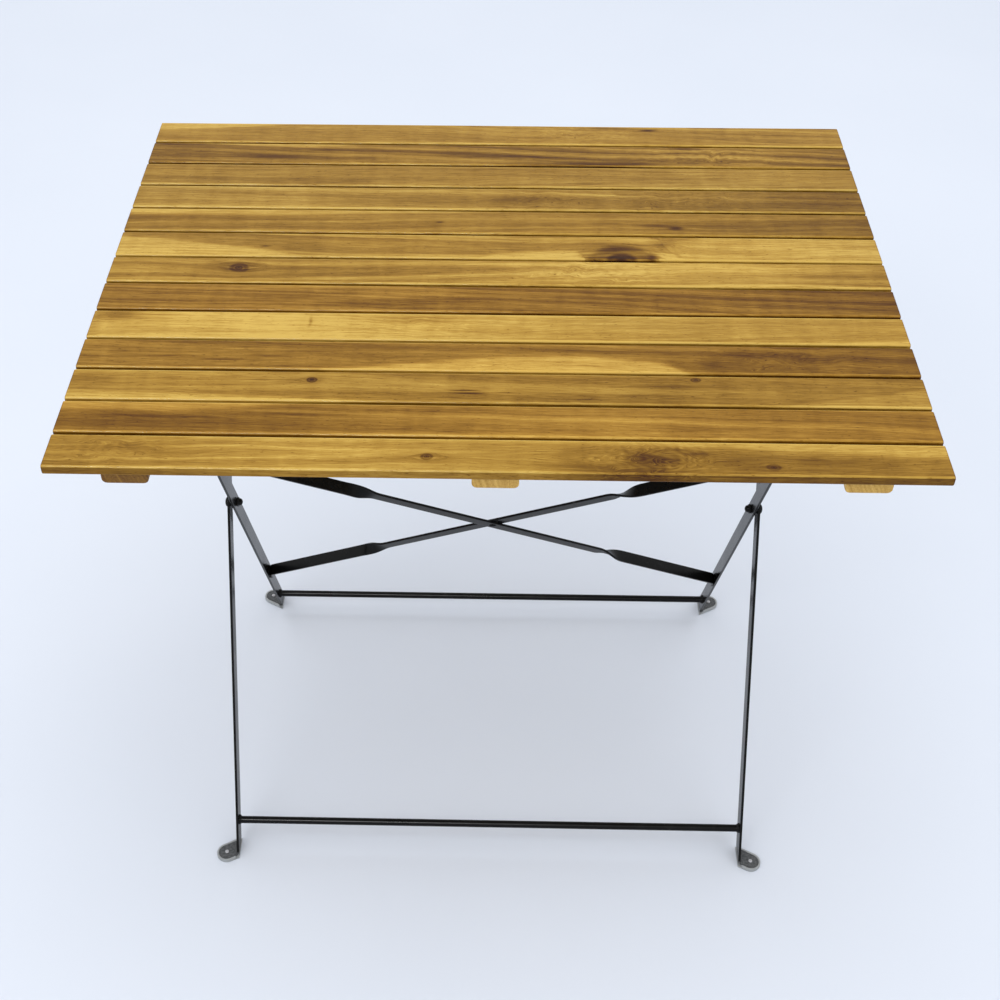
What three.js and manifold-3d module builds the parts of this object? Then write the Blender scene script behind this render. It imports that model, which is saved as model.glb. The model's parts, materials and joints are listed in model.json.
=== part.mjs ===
// A slatted folding table on two crossed flat-steel leg frames, in millimetres.
// +X runs along the slats, -Y is the front, +Z is up, and the origin lies on the ground under the
// middle of the top. The inner frame is hinged under the front of the top and stands on the rear feet.
// The outer frame's top rod lies in two hooks under the rear of the top and it stands on the front feet.
import * as THREE from "three";
import { mergeVertices } from "three/addons/utils/BufferGeometryUtils.js";
import Module from "manifold-3d";

// Driving dimensions: the top
const TOP_WIDTH = 800;
const TOP_DEPTH = 626;
const TOP_HEIGHT = 715;
const SLAT_COUNT = 13;
const SLAT_WIDTH = 45;
const SLAT_THICK = 10;
const SLAT_EASE = 1.5;
const BATTEN_WIDTH = 42;
const BATTEN_THICK = 12;
const BATTEN_INSET = 3;
const BATTEN_EASE = 4;
const BATTEN_TOP_EASE = 0.5;
const OUTER_BATTEN_X = 328;

// Driving dimensions: the leg frames
const PIVOT_HEIGHT = 391;
const FOOT_Y = 216;
const AXIS_DROP = 13; // from the battens down to the hinge axis and the top rod
const BAR_WIDTH = 20;
const BAR_THICK = 3;
const INNER_LEG_X = 302; // inner face of an inner leg
const OUTER_LEG_X = 308.5; // inner face of an outer leg
const ROD_RADIUS = 4.5;
const STRETCHER_REACH = 405; // from the pivot down to a stretcher rod
const TOP_ROD_END_X = 340;

// Driving dimensions: the cross brace of the inner frame
const BRACE_WIDTH = 15;
const BRACE_THICK = 3;
const BRACE_CENTRE_REACH = 68.5; // from the pivot down to the crossing
const BRACE_SLOPE = 0.742; // drop of a brace bar for each millimetre sideways
const BRACE_BEND_RADIUS = 8;
const BRACE_TAB = 11;
const BRACE_GAP = 0.05; // between a brace tab and its leg
const TWIST_START_X = 134;
const TWIST_END_X = 171;

// Driving dimensions: hardware
const BOLT_RADIUS = 3;
const HOLE_RADIUS = 3.12; // corners of a round hole that a bolt or pin turns in
const RUNNING_GAP = 0.2; // between faces that turn on each other
const HEAD_RADIUS = 6;
const BOLT_RIM = 0.8; // the straight edge below a bolt head's crown
const BOLT_CROWN = 3;
const BOLT_END = 5; // how far a pivot bolt runs into its cap nut
const NUT_RADIUS = 5.6;
const NUT_BASE = 3;
const NUT_DOME_BASE = 3.4;
const NUT_DOME_RADIUS = 4.6;
const NUT_CROWN = 4.2;
const NUT_BORE_DEPTH = 5.2;
const NUT_BORE_RADIUS = 3.1;
const PIN_HEAD_RADIUS = 5;
const PIN_RIM = 0.6;
const PIN_CROWN = 1.4;
const PEEN_RADIUS = 4.5;
const PEEN_TIP_RADIUS = 3.6;
const PEEN_EDGE = 1.2;
const PEEN_HEIGHT = 2;
const RIVET_RADIUS = 2.5;
const RIVET_HOLE_RADIUS = 2.6;
const RIVET_HEAD_RADIUS = 4.5;
const RIVET_CROWN = 1.6;
const PLATE_THICK = 2;
const CUT_MARGIN = 1; // how far a cutting piece runs past the face it opens
const EAR_X = 298; // inner face of a hinge ear
const BRACKET_DEPTH = 34;
const BRACKET_END_X = 338;
const BRACKET_CORNER = 5;
const EAR_SHOULDER = 4;
const BRACKET_SCREW_X = 327;
const BRACKET_SCREW_STEP = 11; // each screw's distance from the hinge axis, along Y
const HOOK_THICK = 2.5;
const HOOK_GAP = 0.3; // round the rod
const HOOK_WIDTH = 18;
const HOOK_X = 329;
const HOOK_SCREW_REACH = [20, 32]; // the screws' distances behind the rod
const HOOK_FLANGE_END = 38;
const HOOK_LIP_ANGLE = 285; // degrees round the rod, from its rear, where the lip ends
const HOOK_RAMP = [3, 13]; // where the strap rises from the rod to the batten
const HOOK_RAMP_LAG = 1; // the same rise on the strap's underside comes this much later
const SCREW_RADIUS = 1.8;
const SCREW_LENGTH = 11;
const SCREW_POINT = 3;
const SCREW_HEAD_RADIUS = 3.8;
const SCREW_HEAD_HEIGHT = 1.8;
const SCREW_HOLE_RADIUS = 2;

// Driving dimensions: the feet
const TAB_CLEARANCE = 2; // ground to the underside of a foot tab
const TAB_REACH = 14; // along the tab from its fold to its peg
const GLIDE_BASE = 1.8;
const GLIDE_TOP = 5;
const GLIDE_WALL = 2.5;
const GLIDE_GAP = 0.3;
const GLIDE_START = -1.5; // from the leg's inner face
const POCKET_START = -3;
const PEG_RADIUS = 2.4;
const PEG_HOLE_RADIUS = 2.6;
const PEG_HEAD_RADIUS = 3;
const PEG_RIM = 0.4;
const PEG_CROWN = 1.4;

// Worked out from the driving dimensions
const SLAT_PITCH = (TOP_DEPTH - SLAT_WIDTH) / (SLAT_COUNT - 1);
const SLAT_UNDERSIDE = TOP_HEIGHT - SLAT_THICK;
const BATTEN_UNDERSIDE = SLAT_UNDERSIDE - BATTEN_THICK;
const AXIS_HEIGHT = BATTEN_UNDERSIDE - AXIS_DROP;
const LEAN = Math.atan2(FOOT_Y, PIVOT_HEIGHT); // of a leg, from upright
const UPPER_ARM = (AXIS_HEIGHT - PIVOT_HEIGHT) / Math.cos(LEAN);
const AXIS_Y = UPPER_ARM * Math.sin(LEAN);
const SIDES = [
  { name: "left", sign: -1 },
  { name: "right", sign: 1 },
];

const ALONG_X = new THREE.Matrix4().set(0, 0, 1, 0, 1, 0, 0, 0, 0, 1, 0, 0, 0, 0, 0, 1);
const ALONG_Y = new THREE.Matrix4().set(1, 0, 0, 0, 0, 0, -1, 0, 0, 1, 0, 0, 0, 0, 0, 1);

const paint = { roughness: 0.45, metalness: 0.3 };
const MATERIALS = {
  slat: new THREE.MeshStandardMaterial({ color: 0xb47a35, roughness: 0.45, metalness: 0 }),
  batten: new THREE.MeshStandardMaterial({ color: 0xc0944f, roughness: 0.6, metalness: 0 }),
  frame: new THREE.MeshStandardMaterial({ color: 0x1c1c1e, ...paint }),
  hardware: new THREE.MeshStandardMaterial({ color: 0x17171a, ...paint }),
  screw: new THREE.MeshStandardMaterial({ color: 0x9a9a9c, roughness: 0.4, metalness: 0.9 }),
  glide: new THREE.MeshStandardMaterial({ color: 0x9aa0a4, roughness: 0.5, metalness: 0 }),
  peg: new THREE.MeshStandardMaterial({ color: 0xd5d6d6, roughness: 0.5, metalness: 0 }),
};

const wasm = await Module();
wasm.setup();

function toSolid(geometry) {
  const bare = geometry.index ? geometry.toNonIndexed() : geometry.clone();
  bare.deleteAttribute("normal");
  bare.deleteAttribute("uv");
  const merged = mergeVertices(bare, 1e-4);
  const mesh = new wasm.Mesh({
    numProp: 3,
    vertProperties: merged.attributes.position.array,
    triVerts: new Uint32Array(merged.index.array),
  });
  return new wasm.Manifold(mesh);
}

function toGeometry(solid) {
  const mesh = solid.getMesh();
  const geometry = new THREE.BufferGeometry();
  geometry.setAttribute("position", new THREE.BufferAttribute(mesh.vertProperties, 3));
  geometry.setIndex(new THREE.BufferAttribute(mesh.triVerts, 1));
  geometry.computeVertexNormals();
  return geometry;
}

// The first geometry with the others added, then the holes cut.
function build(geometries, holes = []) {
  let solid = toSolid(geometries[0]);
  for (const geometry of geometries.slice(1)) {
    solid = solid.add(toSolid(geometry));
  }
  for (const hole of holes) {
    solid = solid.subtract(toSolid(hole));
  }
  return toGeometry(solid);
}

function prism(shape, depth, curveSegments = 8) {
  return new THREE.ExtrudeGeometry(shape, { depth, bevelEnabled: false, curveSegments });
}

function polygon(points) {
  return new THREE.Shape(points.map(([u, v]) => new THREE.Vector2(u, v)));
}

// A round bar along X between two x values, on the axis (y, z).
function roundBar(fromX, toX, radius, y = 0, z = 0, segments = 16) {
  const geometry = new THREE.CylinderGeometry(radius, radius, Math.abs(toX - fromX), segments);
  geometry.rotateZ(Math.PI / 2);
  return geometry.translate((fromX + toX) / 2, y, z);
}

// A round pin along Z between two heights.
function roundPin(fromZ, toZ, radius, x = 0, y = 0, segments = 12) {
  const geometry = new THREE.CylinderGeometry(radius, radius, toZ - fromZ, segments);
  geometry.rotateX(Math.PI / 2);
  return geometry.translate(x, y, (fromZ + toZ) / 2);
}

// A turned piece from its profile of [radius, height] points, along +Z.
function turned(profile, segments = 16) {
  const points = profile.map(([radius, height]) => new THREE.Vector2(radius, height));
  return new THREE.LatheGeometry(points, segments).rotateX(Math.PI / 2);
}

// Points of a dome's profile, from its rim in to its crown on the axis.
function dome(radius, baseHeight, height, steps = 4) {
  const points = [];
  for (let i = 0; i <= steps; i++) {
    const angle = ((Math.PI / 2) * i) / steps;
    const r = i === steps ? 0 : radius * Math.cos(angle);
    points.push([r, baseHeight + height * Math.sin(angle)]);
  }
  return points;
}

function addMesh(parent, name, geometry, material) {
  const mesh = new THREE.Mesh(geometry, material);
  mesh.name = name;
  parent.add(mesh);
  return mesh;
}

// A turned piece that points outwards along X on one side of the table.
function addTurnedAlongX(parent, name, geometry, material, side, x, y = 0, z = 0) {
  const mesh = addMesh(parent, name, geometry, material);
  mesh.position.set(side.sign * x, y, z);
  mesh.rotation.y = (side.sign * Math.PI) / 2;
  return mesh;
}

// ---- The top ----

// A rectangle with eased corners, as [u, v] points running counter-clockwise.
function easedRectangle(width, height, easeBelow, easeAbove) {
  const u = width / 2;
  return polygon([
    [-u + easeBelow, 0],
    [u - easeBelow, 0],
    [u, easeBelow],
    [u, height - easeAbove],
    [u - easeAbove, height],
    [-u + easeAbove, height],
    [-u, height - easeAbove],
    [-u, easeBelow],
  ]);
}

function addSlats(parent) {
  const shape = easedRectangle(SLAT_WIDTH, SLAT_THICK, SLAT_EASE, SLAT_EASE);
  const geometry = prism(shape, TOP_WIDTH).applyMatrix4(ALONG_X);
  for (let i = 0; i < SLAT_COUNT; i++) {
    const number = String(i + 1).padStart(2, "0");
    const slat = addMesh(parent, `slat_${number}`, geometry, MATERIALS.slat);
    const y = (TOP_DEPTH - SLAT_WIDTH) / 2 - i * SLAT_PITCH;
    slat.position.set(-TOP_WIDTH / 2, y, SLAT_UNDERSIDE);
  }
}

// Where the screws of one side's bracket and hook go into the batten, as [x, y].
function screwPlaces(side) {
  const bracket = [-1, 1].map((way) => [BRACKET_SCREW_X, -AXIS_Y + way * BRACKET_SCREW_STEP]);
  const hook = HOOK_SCREW_REACH.map((reach) => [HOOK_X, AXIS_Y + reach]);
  return [...bracket, ...hook].map(([x, y]) => [side.sign * x, y]);
}

function battenGeometry() {
  const length = TOP_DEPTH - 2 * BATTEN_INSET;
  const shape = easedRectangle(BATTEN_WIDTH, BATTEN_THICK, BATTEN_EASE, BATTEN_TOP_EASE);
  return prism(shape, length).applyMatrix4(ALONG_Y).translate(0, length / 2, 0);
}

function addBattens(parent) {
  const centre = addMesh(parent, "batten_center", battenGeometry(), MATERIALS.batten);
  centre.position.z = BATTEN_UNDERSIDE;
  for (const side of SIDES) {
    const x = side.sign * OUTER_BATTEN_X;
    const holes = screwPlaces(side).map(([screwX, screwY]) =>
      roundPin(-CUT_MARGIN, SCREW_LENGTH - PLATE_THICK + 0.3, SCREW_HOLE_RADIUS, screwX - x, screwY),
    );
    const geometry = build([battenGeometry()], holes);
    const batten = addMesh(parent, `batten_${side.name}`, geometry, MATERIALS.batten);
    batten.position.set(x, 0, BATTEN_UNDERSIDE);
  }
}

// ---- The hinge brackets and rod hooks under the top ----

// An angle bracket: a plate under the batten and an ear that hangs down inside the inner leg.
function bracketGeometry(side) {
  const top = BATTEN_UNDERSIDE - AXIS_HEIGHT;
  const half = BRACKET_DEPTH / 2;
  const plate = prism(
    polygon([
      [EAR_X, -half],
      [BRACKET_END_X - BRACKET_CORNER, -half],
      [BRACKET_END_X, -half + BRACKET_CORNER],
      [BRACKET_END_X, half - BRACKET_CORNER],
      [BRACKET_END_X - BRACKET_CORNER, half],
      [EAR_X, half],
    ]),
    PLATE_THICK,
  ).translate(0, 0, top - PLATE_THICK);
  const ear = new THREE.Shape();
  ear.moveTo(half, top);
  ear.lineTo(-half, top);
  ear.lineTo(-half, top - EAR_SHOULDER);
  ear.lineTo(-BAR_WIDTH / 2, 0);
  ear.absarc(0, 0, BAR_WIDTH / 2, Math.PI, 2 * Math.PI, false);
  ear.lineTo(half, top - EAR_SHOULDER);
  const earPlate = prism(ear, PLATE_THICK).applyMatrix4(ALONG_X).translate(EAR_X, 0, 0);
  const holes = [-1, 1].map((way) =>
    roundPin(0, top + CUT_MARGIN, SCREW_HOLE_RADIUS, BRACKET_SCREW_X, way * BRACKET_SCREW_STEP),
  );
  holes.push(roundBar(EAR_X - CUT_MARGIN, EAR_X + PLATE_THICK + CUT_MARGIN, HOLE_RADIUS));
  return mirrored(build([plate, earPlate], holes), side);
}

// A geometry made for the right side, turned into its mirror image for the left one.
function mirrored(geometry, side) {
  if (side.sign > 0) {
    return geometry;
  }
  const solid = toSolid(geometry).mirror([1, 0, 0]);
  return toGeometry(solid);
}

// A strap hook round the front of the top rod, open towards the rear.
function hookGeometry() {
  const inner = ROD_RADIUS + HOOK_GAP;
  const outer = inner + HOOK_THICK;
  const top = AXIS_DROP;
  const lip = THREE.MathUtils.degToRad(HOOK_LIP_ANGLE);
  const [rampStart, rampEnd] = HOOK_RAMP;
  const shape = new THREE.Shape();
  shape.moveTo(HOOK_FLANGE_END, top);
  shape.lineTo(rampEnd, top);
  shape.lineTo(rampStart, outer);
  shape.lineTo(0, outer);
  shape.absarc(0, 0, outer, Math.PI / 2, lip, false);
  shape.lineTo(inner * Math.cos(lip), inner * Math.sin(lip));
  shape.absarc(0, 0, inner, lip, Math.PI / 2, true);
  shape.lineTo(rampStart + HOOK_RAMP_LAG, inner);
  shape.lineTo(rampEnd + HOOK_RAMP_LAG, top - HOOK_THICK);
  shape.lineTo(HOOK_FLANGE_END, top - HOOK_THICK);
  const strap = prism(shape, HOOK_WIDTH, 10).applyMatrix4(ALONG_X).translate(-HOOK_WIDTH / 2, 0, 0);
  const holes = HOOK_SCREW_REACH.map((reach) =>
    roundPin(top - 2 * HOOK_THICK, top + CUT_MARGIN, SCREW_HOLE_RADIUS, 0, reach),
  );
  return build([strap], holes);
}

// A pan-head screw that points up into the batten, with its head's underside at the origin.
function screwGeometry() {
  const crown = dome(SCREW_HEAD_RADIUS, 0, SCREW_HEAD_HEIGHT, 3).map(([r, h]) => [r, -h]);
  const shank = [
    [SCREW_RADIUS, 0],
    [SCREW_RADIUS, SCREW_LENGTH - SCREW_POINT],
    [0, SCREW_LENGTH],
  ];
  return turned([...crown.reverse(), ...shank], 10);
}

// The hinge pin: a domed head outside the inner leg and a peened end inside the ear.
function hingePinGeometry() {
  const headUnderside = INNER_LEG_X + BAR_THICK + RUNNING_GAP - EAR_X;
  return turned([
    [0, -PEEN_HEIGHT],
    [PEEN_TIP_RADIUS, -PEEN_HEIGHT],
    [PEEN_RADIUS, -PEEN_EDGE],
    [PEEN_RADIUS, 0],
    [BOLT_RADIUS, 0],
    [BOLT_RADIUS, headUnderside],
    [PIN_HEAD_RADIUS, headUnderside],
    ...dome(PIN_HEAD_RADIUS, headUnderside + PIN_RIM, PIN_CROWN, 3),
  ]);
}

function washerGeometry(thickness) {
  const hole = HOLE_RADIUS + RUNNING_GAP / 2;
  return turned([
    [hole, 0],
    [HEAD_RADIUS, 0],
    [HEAD_RADIUS, thickness],
    [hole, thickness],
    [hole, 0],
  ]);
}

function addTopHardware(parent) {
  const hook = hookGeometry();
  const screw = screwGeometry();
  const pin = hingePinGeometry();
  const earOutside = EAR_X + PLATE_THICK;
  const washer = washerGeometry(INNER_LEG_X - earOutside - 2 * RUNNING_GAP);
  for (const side of SIDES) {
    const bracketName = `hinge_bracket_${side.name}`;
    const bracket = addMesh(parent, bracketName, bracketGeometry(side), MATERIALS.hardware);
    bracket.position.set(0, -AXIS_Y, AXIS_HEIGHT);
    const strap = addMesh(parent, `rod_hook_${side.name}`, hook, MATERIALS.hardware);
    strap.position.set(side.sign * HOOK_X, AXIS_Y, AXIS_HEIGHT);
    const onAxis = [-AXIS_Y, AXIS_HEIGHT];
    const pinName = `hinge_pin_${side.name}`;
    addTurnedAlongX(parent, pinName, pin, MATERIALS.hardware, side, EAR_X, ...onAxis);
    const washerName = `hinge_washer_${side.name}`;
    const washerX = earOutside + RUNNING_GAP;
    addTurnedAlongX(parent, washerName, washer, MATERIALS.hardware, side, washerX, ...onAxis);
    const names = ["bracket_screw_front", "bracket_screw_rear", "hook_screw_front", "hook_screw_rear"];
    screwPlaces(side).forEach(([x, y], i) => {
      const plate = i < 2 ? PLATE_THICK : HOOK_THICK;
      const mesh = addMesh(parent, `${names[i]}_${side.name}`, screw, MATERIALS.screw);
      mesh.position.set(x, y, BATTEN_UNDERSIDE - plate);
    });
  }
}

// ---- The leg frames ----
// Each frame is a group turned about the pivot: +Z runs up its legs and X across the table.

// The point of a leaning frame that lies at (y, z) of the table.
function intoFrame(y, z, lean) {
  const rise = z - PIVOT_HEIGHT;
  return [
    y * Math.cos(lean) + rise * Math.sin(lean),
    -y * Math.sin(lean) + rise * Math.cos(lean),
  ];
}

// The outline of a foot tab in plan, grown by a margin: it starts at the leg's inner face (x = 0)
// and runs outwards and away from the middle of the table, as the flat bar does when it is folded.
function tabOutline(margin, startX, way) {
  const along = new THREE.Vector2(Math.cos(LEAN), way * Math.sin(LEAN));
  const across = new THREE.Vector2(-along.y, along.x);
  const centre = along.clone().multiplyScalar(TAB_REACH).add(new THREE.Vector2(BAR_THICK, 0));
  const radius = BAR_WIDTH / 2 + margin;
  const edgeStart = (sign) => {
    const point = centre.clone().addScaledVector(across, sign * radius);
    return point.addScaledVector(along, (startX - point.x) / along.x);
  };
  const heading = along.angle();
  const shape = new THREE.Shape();
  const low = edgeStart(-1);
  const high = edgeStart(1);
  shape.moveTo(high.x, high.y);
  shape.lineTo(low.x, low.y);
  shape.absarc(centre.x, centre.y, radius, heading - Math.PI / 2, heading + Math.PI / 2, false);
  return { shape, centre };
}

// A leg in its leaning frame: a flat bar with a rounded top end whose foot is folded outwards.
function legGeometry(side, lean, topHoleRadius) {
  const way = Math.sign(lean);
  const half = BAR_WIDTH / 2;
  const cut = (y) => (TAB_CLEARANCE - PIVOT_HEIGHT - y * Math.sin(lean)) / Math.cos(lean);
  const shape = new THREE.Shape();
  shape.moveTo(-half, cut(-half));
  shape.lineTo(half, cut(half));
  shape.lineTo(half, UPPER_ARM);
  shape.absarc(0, UPPER_ARM, half, 0, Math.PI, false);
  const bar = prism(shape, BAR_THICK).applyMatrix4(ALONG_X);
  const tab = tabOutline(0, 0, way);
  const foot = prism(tab.shape, BAR_THICK);
  foot.translate(0, footCentreY(way), TAB_CLEARANCE - PIVOT_HEIGHT);
  foot.rotateX(-lean);
  const pegHole = roundPin(
    -CUT_MARGIN,
    BAR_THICK + CUT_MARGIN,
    PEG_HOLE_RADIUS,
    tab.centre.x,
    tab.centre.y,
  );
  pegHole.translate(0, footCentreY(way), TAB_CLEARANCE - PIVOT_HEIGHT);
  pegHole.rotateX(-lean);
  const holes = [
    pegHole,
    roundBar(-CUT_MARGIN, BAR_THICK + CUT_MARGIN, HOLE_RADIUS),
    roundBar(-CUT_MARGIN, BAR_THICK + CUT_MARGIN, topHoleRadius, 0, UPPER_ARM),
  ];
  return mirrored(build([bar, foot], holes), side);
}

// Where the middle of a leg meets the underside of its foot tab.
function footCentreY(way) {
  return (way * (PIVOT_HEIGHT - TAB_CLEARANCE) * FOOT_Y) / PIVOT_HEIGHT;
}

// A plastic glide: a base under the foot tab and a rim round it, which stops short of the leg.
function glideGeometry(side, way) {
  const outside = prism(tabOutline(GLIDE_WALL, GLIDE_START, way).shape, GLIDE_TOP);
  const pocket = prism(tabOutline(GLIDE_GAP, POCKET_START, way).shape, GLIDE_TOP);
  pocket.translate(0, 0, GLIDE_BASE);
  const legRoom = new THREE.BoxGeometry(2 * (BAR_THICK + GLIDE_GAP), 3 * BAR_WIDTH, GLIDE_TOP);
  legRoom.translate(0, 0, GLIDE_BASE + GLIDE_TOP / 2);
  return mirrored(build([outside], [pocket, legRoom]), side);
}

// The peg that holds a glide: a shank through the tab and a low round head above it.
function pegGeometry() {
  const tabTop = TAB_CLEARANCE + BAR_THICK;
  return turned(
    [
      [0, GLIDE_BASE],
      [PEG_RADIUS, GLIDE_BASE],
      [PEG_RADIUS, tabTop],
      [PEG_HEAD_RADIUS, tabTop],
      ...dome(PEG_HEAD_RADIUS, tabTop + PEG_RIM, PEG_CROWN, 3),
    ],
    12,
  );
}

// Adds a leg, its glide and its peg to each side of a leaning frame.
function addLegs(frame, label, lean, innerFaceX, topHoleRadius) {
  const way = Math.sign(lean);
  const feet = new THREE.Group();
  feet.rotation.x = -lean;
  frame.add(feet);
  const centre = tabOutline(0, 0, way).centre;
  for (const side of SIDES) {
    const leg = legGeometry(side, lean, topHoleRadius);
    const legMesh = addMesh(frame, `${label}_leg_${side.name}`, leg, MATERIALS.frame);
    legMesh.position.x = side.sign * innerFaceX;
    const end = way > 0 ? "rear" : "front";
    const glide = addMesh(feet, `glide_${end}_${side.name}`, glideGeometry(side, way), MATERIALS.glide);
    glide.position.set(side.sign * innerFaceX, footCentreY(way), -PIVOT_HEIGHT);
    const peg = addMesh(feet, `glide_peg_${end}_${side.name}`, pegGeometry(), MATERIALS.peg);
    const pegX = side.sign * (innerFaceX + centre.x);
    peg.position.set(pegX, footCentreY(way) + centre.y, -PIVOT_HEIGHT);
  }
}

// The middle line of half a brace bar, from the crossing to the end of its tab, as [x, z] points.
function braceHalfPath() {
  const length = Math.hypot(1, BRACE_SLOPE);
  const direction = [1 / length, -BRACE_SLOPE / length];
  const turn = Math.PI / 2 - Math.atan(BRACE_SLOPE);
  const tabX = INNER_LEG_X - BRACE_GAP - BRACE_THICK / 2;
  // The bend's centre lies one radius inside the tab's line.
  const bendX = tabX - BRACE_BEND_RADIUS;
  const bendStartX = bendX + BRACE_BEND_RADIUS * Math.sin(Math.PI / 2 - turn);
  const points = [[0, 0]];
  const twistSteps = 9;
  for (let i = 0; i <= twistSteps; i++) {
    const x = THREE.MathUtils.lerp(TWIST_START_X, TWIST_END_X, i / twistSteps);
    points.push([x, -x * BRACE_SLOPE]);
  }
  const startZ = -bendStartX * BRACE_SLOPE;
  const centreZ = startZ - BRACE_BEND_RADIUS * direction[0];
  const bendSteps = 5;
  for (let i = 0; i <= bendSteps; i++) {
    const angle = turn * (1 - i / bendSteps);
    points.push([
      bendX + BRACE_BEND_RADIUS * Math.cos(angle),
      centreZ + BRACE_BEND_RADIUS * Math.sin(angle),
    ]);
  }
  points.push([tabX, centreZ - BRACE_TAB]);
  return points;
}

// A flat bar swept along the brace's line: flat in the frame's plane in the middle, and turned a
// quarter turn towards each end, clockwise at one end and anticlockwise at the other. The last
// stretch lies on the inner leg.
function braceGeometry(depth, falling) {
  const half = braceHalfPath();
  const other = half.slice(1).map(([x, z]) => [-x, -z]);
  const path = [...other.reverse(), ...half].map(([x, z]) => new THREE.Vector2(x, z));
  const vertices = [];
  for (let i = 0; i < path.length; i++) {
    const before = path[Math.max(i - 1, 0)];
    const after = path[Math.min(i + 1, path.length - 1)];
    const tangent = after.clone().sub(before).normalize();
    const sideways = new THREE.Vector2(-tangent.y, tangent.x);
    const progress = (Math.abs(path[i].x) - TWIST_START_X) / (TWIST_END_X - TWIST_START_X);
    const sense = path[i].x > 0 === falling > 0 ? -1 : 1;
    const twist = (sense * Math.PI * THREE.MathUtils.smoothstep(progress, 0, 1)) / 2;
    const quarter = [
      [1, 1],
      [-1, 1],
      [-1, -1],
      [1, -1],
    ];
    for (const [w, t] of quarter) {
      const wide = (w * BRACE_WIDTH) / 2;
      const thick = (t * BRACE_THICK) / 2;
      const inPlane = wide * Math.cos(twist) - thick * Math.sin(twist);
      const outOfPlane = wide * Math.sin(twist) + thick * Math.cos(twist);
      const x = path[i].x + sideways.x * inPlane;
      const z = path[i].y + sideways.y * inPlane;
      vertices.push(x, depth + outOfPlane, z);
    }
  }
  const faces = [0, 1, 2, 0, 2, 3];
  for (let i = 0; i < path.length - 1; i++) {
    for (let j = 0; j < 4; j++) {
      const a = 4 * i + j;
      const b = 4 * i + ((j + 1) % 4);
      faces.push(a, a + 4, b, b, a + 4, b + 4);
    }
  }
  const last = 4 * (path.length - 1);
  faces.push(last, last + 2, last + 1, last, last + 3, last + 2);
  const geometry = new THREE.BufferGeometry();
  geometry.setAttribute("position", new THREE.Float32BufferAttribute(vertices, 3));
  geometry.setIndex(faces);
  const hole = roundPin(-BRACE_THICK, BRACE_THICK, RIVET_HOLE_RADIUS).rotateX(Math.PI / 2);
  hole.translate(0, depth, 0);
  const bar = build([geometry], [hole]);
  return falling > 0 ? bar : toGeometry(toSolid(bar).mirror([1, 0, 0]));
}

// The rivet through the crossing: a shank and two low round heads, along the frame's Y.
function braceRivetGeometry() {
  const reach = BRACE_THICK;
  const head = dome(RIVET_HEAD_RADIUS, reach, RIVET_CROWN, 3);
  const foot = head.map(([r, h]) => [r, -h]).reverse();
  const shank = [
    [RIVET_RADIUS, -reach],
    [RIVET_RADIUS, reach],
  ];
  return turned([...foot, ...shank, ...head], 12);
}

function addBrace(frame) {
  const brace = new THREE.Group();
  brace.position.z = -BRACE_CENTRE_REACH;
  frame.add(brace);
  const depth = BRACE_THICK / 2;
  addMesh(brace, "brace_bar_front", braceGeometry(-depth, 1), MATERIALS.frame);
  addMesh(brace, "brace_bar_back", braceGeometry(depth, -1), MATERIALS.frame);
  const rivet = addMesh(brace, "brace_rivet", braceRivetGeometry(), MATERIALS.hardware);
  rivet.rotation.x = Math.PI / 2;
}

function stretcherGeometry(halfLength, z) {
  return roundBar(-halfLength, halfLength, ROD_RADIUS, 0, z);
}

// The pivot bolt: a domed head outside the outer leg and a shank that ends inside the cap nut.
function pivotBoltGeometry() {
  const shankStart = INNER_LEG_X - BOLT_END - OUTER_LEG_X;
  return turned([
    [0, shankStart],
    [BOLT_RADIUS, shankStart],
    [BOLT_RADIUS, BAR_THICK],
    [HEAD_RADIUS, BAR_THICK],
    ...dome(HEAD_RADIUS, BAR_THICK + BOLT_RIM, BOLT_CROWN, 4),
  ]);
}

// The cap nut, with its open end towards the leg and its crown towards the middle of the table.
function capNutGeometry() {
  return turned([
    ...dome(NUT_DOME_RADIUS, NUT_DOME_BASE, NUT_CROWN, 5).reverse().map(([r, h]) => [r, -h]),
    [NUT_RADIUS, -NUT_BASE],
    [NUT_RADIUS, 0],
    [NUT_BORE_RADIUS, 0],
    [NUT_BORE_RADIUS, -NUT_BORE_DEPTH],
    [0, -NUT_BORE_DEPTH],
  ]);
}

function addPivots(frame) {
  const bolt = pivotBoltGeometry();
  const nut = capNutGeometry();
  const innerLegOutside = INNER_LEG_X + BAR_THICK;
  const washer = washerGeometry(OUTER_LEG_X - innerLegOutside - 2 * RUNNING_GAP);
  for (const side of SIDES) {
    addTurnedAlongX(frame, `pivot_bolt_${side.name}`, bolt, MATERIALS.hardware, side, OUTER_LEG_X);
    const washerX = innerLegOutside + RUNNING_GAP;
    addTurnedAlongX(frame, `pivot_washer_${side.name}`, washer, MATERIALS.hardware, side, washerX);
    const nutX = INNER_LEG_X - RUNNING_GAP;
    addTurnedAlongX(frame, `cap_nut_${side.name}`, nut, MATERIALS.hardware, side, nutX);
  }
}

function innerFrame() {
  const frame = new THREE.Group();
  frame.position.z = PIVOT_HEIGHT;
  frame.rotation.x = LEAN;
  addLegs(frame, "inner", LEAN, INNER_LEG_X, HOLE_RADIUS);
  const stretcher = stretcherGeometry(INNER_LEG_X, -STRETCHER_REACH);
  addMesh(frame, "rear_stretcher_rod", stretcher, MATERIALS.frame);
  addBrace(frame);
  return frame;
}

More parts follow.
